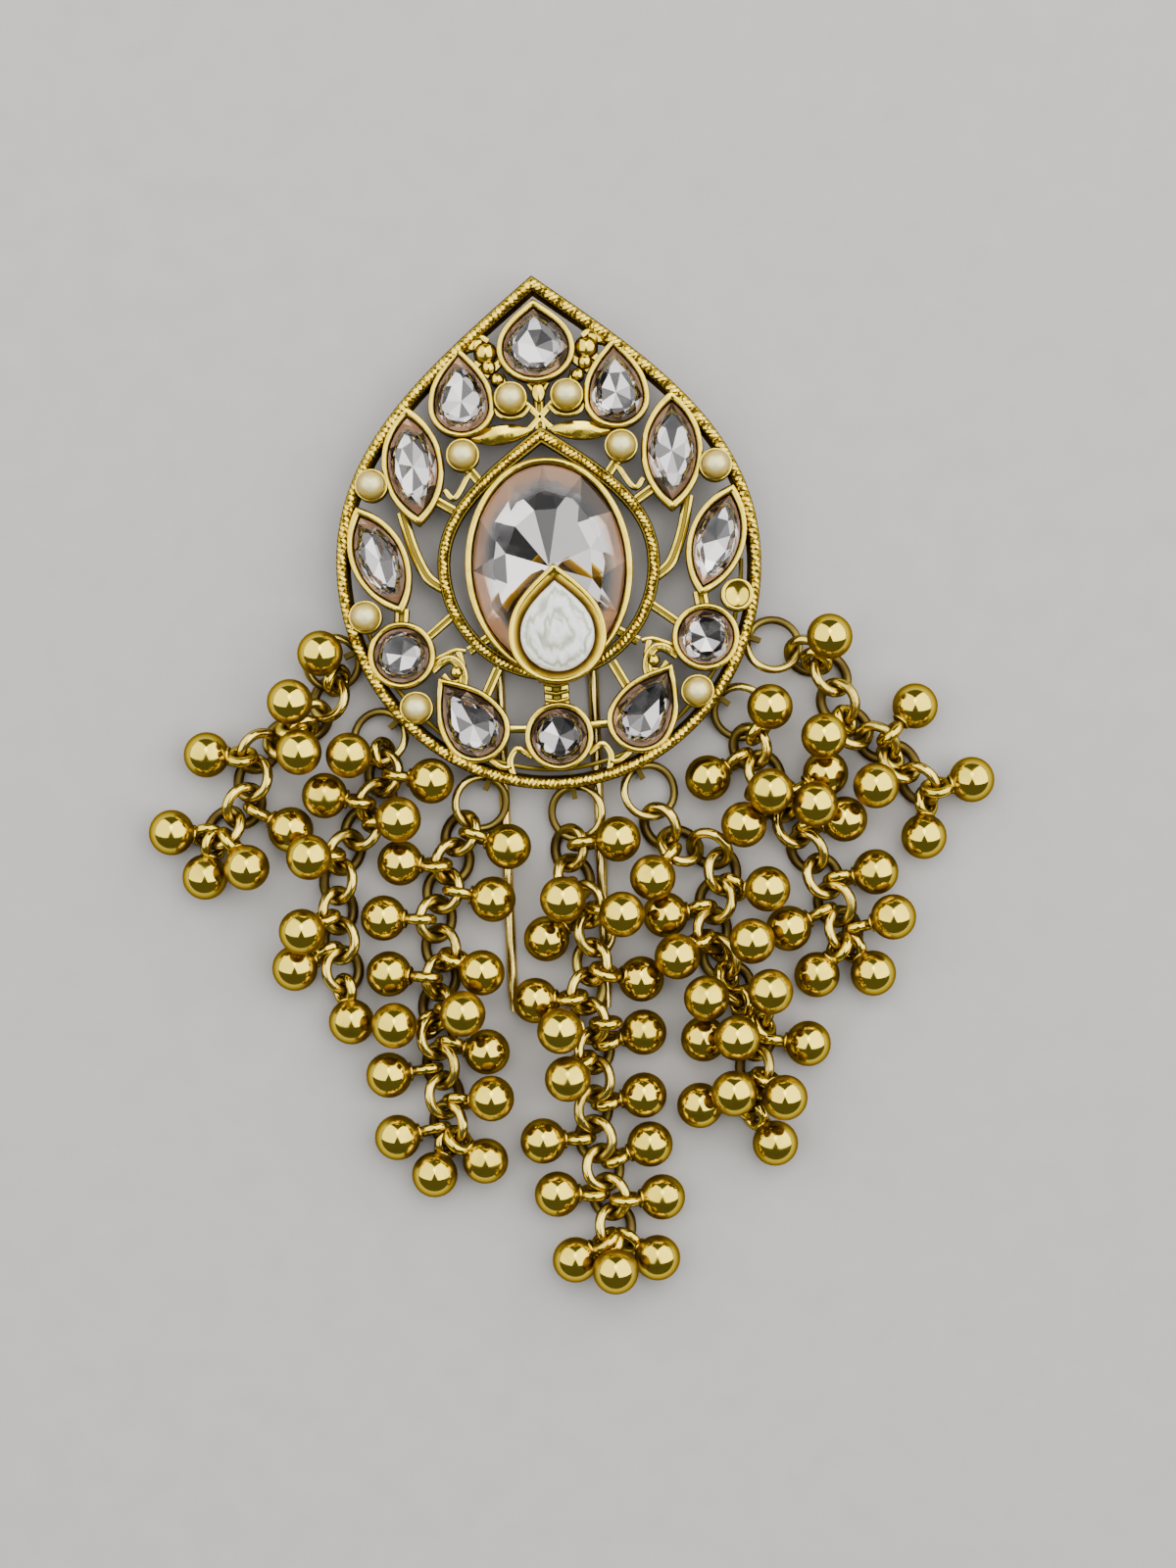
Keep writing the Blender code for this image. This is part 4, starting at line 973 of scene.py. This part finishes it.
def pin_path(bow_steps=10):
    """The U from tip to tip, with a point where each tip's taper ends."""
    tip = PIN_HALF - PIN_LENGTH
    taper = tip + PIN_RADIUS * 4
    turns = [math.pi * i / bow_steps for i in range(bow_steps + 1)]
    bow = [(PIN_HALF * math.cos(turn), PIN_HALF * math.sin(turn)) for turn in turns]
    return [pin_place(*p) for p in [(PIN_HALF, tip), (PIN_HALF, taper)] + bow
            + [(-PIN_HALF, taper), (-PIN_HALF, tip)]]


pin = bmesh.new()
points = [Vector((*p, PIN_RADIUS)) for p in pin_path(32)]
radii = [PIN_RADIUS * 0.6] + [PIN_RADIUS] * (len(points) - 2) + [PIN_RADIUS * 0.6]
round_wire(pin, points, radii)
# Its steep sides are painted dark as shade; its blotches are patina.
pin_gold = antique_metal("pin_gold", Finish(
    bright=(0.95, 0.72, 0.20), dark=(0.09, 0.06, 0.02), roughness=0.2, low=-1.0, high=-0.9,
    side=0.5, blotch_scale=600.0, blotch_amount=0.4, bump=0.1))
finish_piece("u_pin", mesh_of("u_pin", pin), as_laid, [pin_gold], ["hair_pin"])

pad = bmesh.new()
pad_middle = Matrix.Rotation(-PLAQUE_LEAN, 2) @ pin_place(0, PIN_HALF + 2 * PIN_RADIUS - PAD_SIZE[1])
pad_plan = block_plan(pad_middle, *PAD_SIZE)
stack(pad, [lift(shrink(pad_plan, 0.95), PAD_LOW), lift(pad_plan, PAD_LOW + 0.15),
            lift(pad_plan, BACK + 0.25)])
# The pad darkens low down and on its sides: painted shade mixed with patina.
plaque_piece("pin_pad", mesh_of("pin_pad", pad), plaque_gold("pad_gold", -1.2, 0.6))

# The staples
# Square loops of thin wire under the rim's edge, one for each chain, with the rim ring through
# them along the rim.
Strand = namedtuple("Strand", "name rim_angle route under over")
STRANDS = (
    Strand("strand_far_left", 204.5,
           ((-0.3, -3.2), (-3.4, -6.2), (-6.8, -8.1), (-7.1, -11.5), (-9.7, -14.7)),
           ((3, 80), (6, 333)),
           ((1, 100), (4, 184), (2, 255), (7, 185), (7, 249), (7, 302))),
    Strand("strand_left", 226.0,
           ((0.3, -3.8), (-1.1, -7.2), (-3.4, -11.0), (-3.6, -16.2), (-3.2, -20.9)),
           ((3, 13), (2, 173), (7, 212)),
           ((1, 152), (1, 343), (4, 187), (6, 210), (8, 280))),
    Strand("strand_inner_left", 254.5,
           ((-1.8, -2.8), (-2.5, -5.4), (-3.9, -10.1), (-3.3, -13.9), (-3.9, -18.6),
            (-3.5, -22.9), (-2.8, -28.1)),
           ((5, 330), (7, 350)),
           ((1, 345), (3, 350), (2, 181), (4, 179), (6, 176), (7, 203), (9, 190),
            (8, 343), (10, 358), (11, 315), (11, 255), (11, 195))),
    Strand("strand_centre", 276.2,
           ((-0.6, -4.4), (1.6, -10.4), (0.9, -15.6), (1.6, -21.5), (1.5, -27.5),
            (2.6, -32.2), (3.4, -36.2)),
           ((3, 322), (6, 190), (8, 225), (5, 341), (12, 27)),
           ((1, 11), (2, 292), (3, 229), (7, 211), (8, 20), (10, 16), (11, 182),
            (13, 177), (13, 0), (14, 220), (14, 270), (14, 315))),
    Strand("strand_inner_right", 293.5,
           ((1.8, -4.4), (6.3, -5.7), (5.5, -11.5), (6.5, -15.4), (9.1, -19.2),
            (9.2, -24.4), (8.9, -27.0)),
           ((5, 196), (6, 216), (10, 182), (12, 190), (12, 297), (8, 349)),
           ((2, 228), (7, 226), (9, 224), (11, 228), (11, 299), (10, 353), (6, 345), (4, 339))),
    Strand("strand_right", 322.0,
           ((0.9, -3.1), (3.2, -7.1), (5.1, -10.9), (7.5, -14.8), (9.1, -19.1)),
           ((3, 215), (3, 29), (3, 351), (6, 5), (7, 208)),
           ((1, 65), (1, 216), (2, 297), (4, 331), (8, 15), (8, 304), (8, 239))),
    Strand("strand_far_right", 340.0,
           ((2.9, -0.9), (5.3, -2.9), (6.2, -6.6), (9.9, -9.1), (12.9, -12.3)),
           (),
           ((2, 95), (3, 245), (5, 266), (5, 44), (7, 5), (7, 275))),
)
RIM_SIDES = 40
STAPLE_WIRE = 0.45
STAPLE_LIFT = 0.3
STAPLE_DEPTH = 0.1
STAPLE_HOLE = 1.4


def rim_point(degrees):
    """Where a ray from the oval's centre meets the rim, and the way outward there."""
    edge = [Vector(p) for p in rim_plan(0, RIM_SIDES)]
    ray = Matrix.Rotation(math.radians(degrees) - PLAQUE_LEAN, 2) @ Vector((1, 0))
    for start, end in zip(edge, edge[1:] + edge[:1]):
        run = end - start
        cross = run.x * ray.y - run.y * ray.x
        share = (start.y * ray.x - start.x * ray.y) / cross if cross else -1
        point = start + run * share
        if 0 <= share < 1 and point.dot(ray) > 0:
            turn = Matrix.Rotation(PLAQUE_LEAN, 2)
            return turn @ point, turn @ Vector((run.y, -run.x)).normalized()
    raise ValueError("no rim at this angle")


staples = bmesh.new()
for strand in STRANDS:
    point, outward = rim_point(strand.rim_angle)
    along = Vector((-outward.y, outward.x)) * STAPLE_WIRE / 2
    inner, outer = STAPLE_DEPTH + STAPLE_HOLE / 2, STAPLE_DEPTH - STAPLE_HOLE / 2
    low, high = STAPLE_LIFT, BACK + 0.05
    shape = ((outer - STAPLE_WIRE, low + 0.1), (outer - STAPLE_WIRE + 0.1, low),
             (inner + STAPLE_WIRE - 0.1, low), (inner + STAPLE_WIRE, low + 0.1),
             (inner + STAPLE_WIRE, high + STAPLE_WIRE), (inner, high + STAPLE_WIRE),
             (inner, low + STAPLE_WIRE), (outer, low + STAPLE_WIRE), (outer, high),
             (RIM_WIDTH / 3, high), (RIM_WIDTH / 3, high + STAPLE_WIRE - 0.1),
             (outer - STAPLE_WIRE, high + STAPLE_WIRE - 0.1))
    stack(staples, [[Vector((*(point - outward * depth + shift), height))
                     for depth, height in shape] for shift in (-along, along)])
# The staples are painted dark low down and on their sides as shade, mixed with patina.
plaque_piece("staples", mesh_of("staples", staples), plaque_gold("staple_gold", 0.2, 1.6),
             place=as_laid)

# How the fringe lies
# The chains lie in a heap on the surface, over the pin where they cross it. Each drop swings up
# from its ring until it clears what was laid before it, in the same order as the CAD model.
RING_RADIUS = 1.75
RING_WIRE = 0.9
RIM_RING_RADIUS = 2.3
RIM_RING_WIRE = 0.8
RIM_RING_LEVEL = STAPLE_LIFT + STAPLE_WIRE + STONE_GAP + RIM_RING_WIRE / 2
EYE_RADIUS = 1.05
EYE_SINK = 0.2
BALL_RADIUS = 2.0
STEM_RADIUS = 0.55
CHAIN_SLOPE = 0.5
ROUTE_STEP = 0.1
SWINGS = (0, 8, -8, 16, -16, 24, -24, 36, -36, 50, -50)
LIFT_STEP = 0.1
MOST_LIFTS = 40
RING_PITCH = 2 * (RING_RADIUS - RING_WIRE / 2)
FIRST_PITCH = RIM_RING_RADIUS + RING_RADIUS - (RIM_RING_WIRE + RING_WIRE) / 2
DROP_REACH = RING_RADIUS + EYE_RADIUS + BALL_RADIUS - EYE_SINK
CHAIN_GIRTH = 2 * RING_RADIUS * math.cos(math.radians(45)) + RING_WIRE


def smooth_route(points):
    """A smooth curve through plan points, as plan points a fixed step apart."""
    dense = smooth_points(points, 24)
    even = [dense[0]]
    carried = 0.0
    for start, end in zip(dense, dense[1:]):
        run = (end - start).length
        while carried + run >= ROUTE_STEP:
            start = start + (end - start) * ((ROUTE_STEP - carried) / run)
            run = (end - start).length
            even.append(start)
            carried = 0.0
        carried += run
    return even


def chain_heights(path):
    """The chain lies on the surface and climbs over the pin where it crosses it."""
    pin = pin_path()
    bare = CHAIN_GIRTH / 2
    reach = bare + PIN_RADIUS + STONE_GAP
    needed = []
    for point in path:
        aside = math.inf
        for a, b in zip(pin, pin[1:]):
            run = b - a
            share = max(0.0, min(1.0, (point - a).dot(run) / run.length_squared))
            aside = min(aside, (point - a - run * share).length)
        over = PIN_RADIUS + math.sqrt(reach ** 2 - aside ** 2) if aside < reach else bare
        needed.append(max(bare, over))
    needed = np.array(needed)
    spots = np.arange(len(path)) * ROUTE_STEP
    return [float(np.max(needed - CHAIN_SLOPE * np.abs(spots - spot))) for spot in spots]


class LaidStrand:
    """A chain as it lies: its rim ring, its path, its rings and its drops."""

    def __init__(self, row):
        self.row = row
        edge, outward = rim_point(row.rim_angle)
        self.rim_ring = edge + outward * (RIM_RING_RADIUS - STAPLE_DEPTH)
        self.path = smooth_route([self.rim_ring + Vector(p) for p in ((0.0, 0.0),) + row.route])
        self.heights = chain_heights(self.path)
        count = int((len(self.path) * ROUTE_STEP - FIRST_PITCH) / RING_PITCH + 1.3)
        self.rings = []
        for number in range(count):
            spot = min(round((FIRST_PITCH + number * RING_PITCH) / ROUTE_STEP), len(self.path) - 1)
            self.rings.append(Vector((*self.path[spot], self.heights[spot])))
        self.axes = []
        self.drops = []


class Heap:
    """Round lumps for all that is laid so far, so that the next drop can rest on it."""

    def __init__(self):
        self.rows = []

    def add(self, points, radius, owner):
        self.rows.extend((*point, radius, owner) for point in points)

    def clearance(self, points, radius, skip=-9):
        rows = np.array(self.rows)
        rows = rows[rows[:, 4] != skip]
        away = [np.min(np.linalg.norm(rows[:, :3] - np.array(point), axis=1) - rows[:, 3])
                for point in points]
        return float(min(away)) - radius


def lay_drop(heap, strand, owner, number, bearing):
    """Hang a drop on its ring, turned and lifted until it clears what lies there."""
    index = min(number, len(strand.rings)) - 1
    ring = strand.rings[index]
    best = (-1.0, None, None)
    for swing in SWINGS:
        turn = math.radians(bearing + swing)
        for step in range(MOST_LIFTS + 1):
            rise = BALL_RADIUS - ring.z + step * LIFT_STEP
            if abs(rise) > DROP_REACH * 0.95:
                break
            plan = math.sqrt(DROP_REACH ** 2 - rise ** 2)
            ball = ring + Vector((plan * math.cos(turn), plan * math.sin(turn), rise))
            stem = [ring.lerp(ball, share) for share in (0.35, 0.45, 0.55)]
            clear = min(heap.clearance([ball], BALL_RADIUS),
                        heap.clearance(stem, STEM_RADIUS, skip=owner))
            if clear > best[0]:
                best = (clear, ball, stem)
            if clear >= STONE_GAP:
                break
        if best[0] >= STONE_GAP:
            break
    heap.add([best[1]], BALL_RADIUS, owner + 0.5)
    heap.add(best[2], STEM_RADIUS, owner)
    strand.drops.append((index, best[1]))


def lay_fringe():
    """The pin and rim first, then the chains, then the lower drops, then the upper ones."""
    heap = Heap()
    turn = Matrix.Rotation(PLAQUE_LEAN, 2)
    edge = [turn @ Vector(p) for p in rim_plan(RIM_WIDTH / 2, RIM_SIDES)]
    for start, end in zip(edge, edge[1:] + edge[:1]):
        for share in (0.0, 0.33, 0.67):
            spot = start + (end - start) * share
            heap.add([(*spot, BACK + RIM_WIDTH / 2), (*spot, BACK + RIM_HEIGHT - RIM_WIDTH / 2)],
                     RIM_WIDTH / 2, -1)
    pin = pin_path()
    for start, end in zip(pin, pin[1:]):
        count = max(2, round((end - start).length / 0.3))
        heap.add([(*start.lerp(end, i / count), PIN_RADIUS) for i in range(count + 1)],
                 PIN_RADIUS, -1)
    strands = [LaidStrand(row) for row in STRANDS]
    for owner, strand in enumerate(strands):
        start = round((RIM_RING_RADIUS + CHAIN_GIRTH / 2) / ROUTE_STEP)
        spots = list(zip(strand.path, strand.heights))[start::5]
        heap.add([(*point, height) for point, height in spots], CHAIN_GIRTH / 2, owner)
        circle = [strand.rim_ring + Matrix.Rotation(math.radians(turn), 2)
                  @ Vector((RIM_RING_RADIUS, 0)) for turn in range(0, 360, 15)]
        heap.add([(*spot, RIM_RING_LEVEL) for spot in circle], RIM_RING_WIRE / 2, owner)
    for layer in ("under", "over"):
        for owner, strand in enumerate(strands):
            for number, bearing in getattr(strand.row, layer):
                lay_drop(heap, strand, owner, number, bearing)
    return strands


laid_strands = lay_fringe()

# The chain links
# Soldered rings of round brass wire, each turned a quarter round from the last. They are bright on
# top and painted brown underneath and on their sides as shade, with patina blotches.
LINK_TILT = 45
LINK_SLACK = 9
LINK_STEPS = 30
WIRE_SIDES = 10
RIM_RING_ROUND = 0.36
RIM_RING_TILT = 18


def round_link_growth():
    """A round link at each point, turned as its facing attribute says."""
    tree, sizes = new_growth("round_links", ("Ring", "Wire"))
    link = swept(tree, hoop(tree, LINK_STEPS, sizes["Ring"]), WIRE_SIDES, sizes["Wire"])
    facing = add_node(tree, "GeometryNodeInputNamedAttribute", {"Name": "facing"},
                      data_type="FLOAT_VECTOR")
    placed = add_node(tree, "GeometryNodeInstanceOnPoints",
                      {"Points": sizes["Geometry"], "Instance": link,
                       "Rotation": facing.outputs[0]})
    end_growth(tree, placed.outputs[0], sizes["Metal"])
    return tree


def facing_points(places):
    """Seed points, each with the turn that brings a flat link square to its axis."""
    mesh = bpy.data.meshes.new("places")
    mesh.from_pydata([tuple(point) for point, _ in places], [], [])
    turns = mesh.attributes.new("facing", "FLOAT_VECTOR", "POINT")
    for spot, (_, axis) in zip(turns.data, places):
        spot.vector = axis.to_track_quat("Z", "Y").to_euler()
    return mesh


round_links = round_link_growth()
# Below 3 mm and on steep sides the links are painted dark as shade; the blotches are patina.
link_gold = antique_metal("link_gold", Finish(
    bright=(1.0, 0.77, 0.14), dark=(0.060, 0.034, 0.012), roughness=0.14, low=0.0006,
    high=0.0030, side=0.9, blotch_scale=420.0, blotch_amount=0.55, bump=0.2))
wobble = random.Random(11)
up = Vector((0, 0, 1))
rim_rings = []
for index, strand in enumerate(laid_strands):
    outward = rim_point(strand.row.rim_angle)[1]
    tilt = math.radians(RIM_RING_TILT * (1 if index % 2 else -1))
    rim_rings.append((Vector((*strand.rim_ring, RIM_RING_LEVEL)),
                      Matrix.Rotation(tilt, 3, Vector((*outward, 0))) @ up))
finish_piece("rim_rings", grown(round_links, facing_points(rim_rings),
                                {"Ring": RIM_RING_RADIUS, "Wire": RIM_RING_ROUND}, link_gold),
             as_laid, [link_gold], [strand.row.name for strand in laid_strands], 80)
for strand in laid_strands:
    centres = [Vector((*strand.rim_ring, RIM_RING_LEVEL))] + strand.rings
    for index, ring in enumerate(strand.rings):
        ahead = (centres[min(index + 2, len(centres) - 1)] - centres[index]).normalized()
        aside = ahead.cross(up).normalized()
        tilt = math.radians(LINK_TILT - wobble.uniform(0, LINK_SLACK)) * (1 if index % 2 else -1)
        upward = aside.cross(ahead)
        strand.axes.append(ahead.cross(aside * math.cos(tilt) + upward * math.sin(tilt)))
    seeds = facing_points(list(zip(strand.rings, strand.axes)))
    links = grown(round_links, seeds, {"Ring": RING_RADIUS, "Wire": RING_WIRE / 2}, link_gold)
    finish_piece(strand.row.name.replace("strand", "links"), links, as_laid, [link_gold],
                 [strand.row.name], 80)

# The ball drops
# A polished hollow ball on an eye of wire that runs round its ring, with a small collar where they
# meet. The balls are the brightest part of the fringe, with a few brown patina patches and painted
# shade on their steep sides.
EYE_ROUND = 0.46
EYE_CLEAR = 0.05
EYE_PASSES = 3
COLLAR_RADIUS = 0.72
COLLAR_WIRE = 0.13
COLLAR_REACH = 0.08
BALL_SIDES = 28
BALL_RINGS = 18


def ball_growth():
    """A smooth ball at each point."""
    tree, sizes = new_growth("balls", ("Ball",))
    ball = add_node(tree, "GeometryNodeMeshUVSphere",
                    {"Segments": BALL_SIDES, "Rings": BALL_RINGS, "Radius": sizes["Ball"]})
    placed = add_node(tree, "GeometryNodeInstanceOnPoints",
                      {"Points": sizes["Geometry"], "Instance": ball.outputs[0]})
    end_growth(tree, placed.outputs[0], sizes["Metal"])
    return tree


balls = ball_growth()
# The steep sides of the balls are painted dark as shade; the blotches are patina.
ball_gold = antique_metal("ball_gold", Finish(
    bright=(1.0, 0.76, 0.08), dark=(0.12, 0.070, 0.010), roughness=0.08, low=-1.0, high=-0.9,
    side=0.9, blotch_scale=260.0, blotch_amount=0.25, bump=0.05))
for strand in laid_strands:
    eyes = []
    collars = []
    for index, ball in strand.drops:
        ring, axis = strand.rings[index], strand.axes[index]
        toward = ball - ring
        flat = (toward - axis * toward.dot(axis)).normalized()
        held = ring + flat * RING_RADIUS
        along = axis.cross(flat)
        for _ in range(EYE_PASSES):
            way = (ball - held).normalized()
            eye_axis = (along - way * along.dot(way)).normalized()
            reach = EYE_RADIUS * math.hypot(eye_axis.x, eye_axis.y) + EYE_ROUND
            held.z = max(held.z, reach + EYE_CLEAR)
        eyes.append((held, eye_axis))
        seat = math.sqrt(BALL_RADIUS ** 2 - COLLAR_RADIUS ** 2) + COLLAR_REACH
        collars.append((ball - way * seat, way))
    seeds = bpy.data.meshes.new("ball_places")
    seeds.from_pydata([tuple(ball) for _, ball in strand.drops], [], [])
    parts = [grown(balls, seeds, {"Ball": BALL_RADIUS}, ball_gold),
             grown(round_links, facing_points(eyes), {"Ring": EYE_RADIUS, "Wire": EYE_ROUND},
                   ball_gold),
             grown(round_links, facing_points(collars), {"Ring": COLLAR_RADIUS,
                                                         "Wire": COLLAR_WIRE}, ball_gold)]
    finish_piece(strand.row.name.replace("strand", "drops"),
                 joined("drops", parts), as_laid, [ball_gold], [strand.row.name], 80)

# The floor, the lights and the camera
# A plain pale table, two large soft lamps and a weak sky. The camera looks straight down, with
# the photograph's frame of 1200 by 1600 pixels at 11.7 pixels to the millimetre.
PIXELS_PER_MM = 11.7
FRAME_PIXELS = (1200, 1600)
OVAL_PIXEL = (560, 575)
CAMERA_LENS = 100
CAMERA_SENSOR = 36
VIEWED_LEVEL = 0.003
SKY_STRENGTH = 0.10

bpy.ops.mesh.primitive_plane_add(size=3.0)
table = bpy.context.object
table.name = "table_top"
pale, tree = new_finish("pale_table")
speck = add_node(tree, "ShaderNodeTexNoise", {"Scale": 900.0, "Detail": 3.0})
dress(tree, {"Roughness": 0.8, "Base Color": colours(
    tree, speck.outputs[0], (0.0, (0.49, 0.47, 0.445)), (1.0, (0.56, 0.54, 0.515)))})
table.data.materials.append(pale)

Lamp = namedtuple("Lamp", "name place across upward power")
LAMPS = (
    Lamp("left_window", (-0.36, 0.17, 0.40), 0.90, 0.98, 5.7),
    Lamp("right_window", (0.36, 0.17, 0.40), 0.90, 0.98, 8.0),
)
for lamp in LAMPS:
    light = bpy.data.lights.new(lamp.name, "AREA")
    light.shape = "RECTANGLE"
    light.size = lamp.across
    light.size_y = lamp.upward
    light.energy = lamp.power
    holder = bpy.data.objects.new(lamp.name, light)
    bpy.context.collection.objects.link(holder)
    holder.location = lamp.place
    holder.rotation_euler = (-Vector(lamp.place)).to_track_quat("-Z", "Y").to_euler()

sky = bpy.data.worlds.new("studio")
sky.use_nodes = True
feed(sky.node_tree, sky.node_tree.nodes["Background"],
     {"Color": (0.95, 0.97, 1.0, 1), "Strength": SKY_STRENGTH})
bpy.context.scene.world = sky

camera = bpy.data.cameras.new("camera")
camera.lens = CAMERA_LENS
camera.sensor_width = CAMERA_SENSOR
camera.sensor_fit = "VERTICAL"
camera.sensor_height = CAMERA_SENSOR
camera.clip_start = 0.01
eye = bpy.data.objects.new("camera", camera)
bpy.context.collection.objects.link(eye)
frame_height = FRAME_PIXELS[1] / PIXELS_PER_MM
aim = as_laid @ Vector(((FRAME_PIXELS[0] / 2 - OVAL_PIXEL[0]) / PIXELS_PER_MM,
                        (OVAL_PIXEL[1] - FRAME_PIXELS[1] / 2) / PIXELS_PER_MM, 0))
eye.location = (aim.x, aim.y, VIEWED_LEVEL + frame_height * CAMERA_LENS / CAMERA_SENSOR * 0.001)
bpy.context.scene.camera = eye
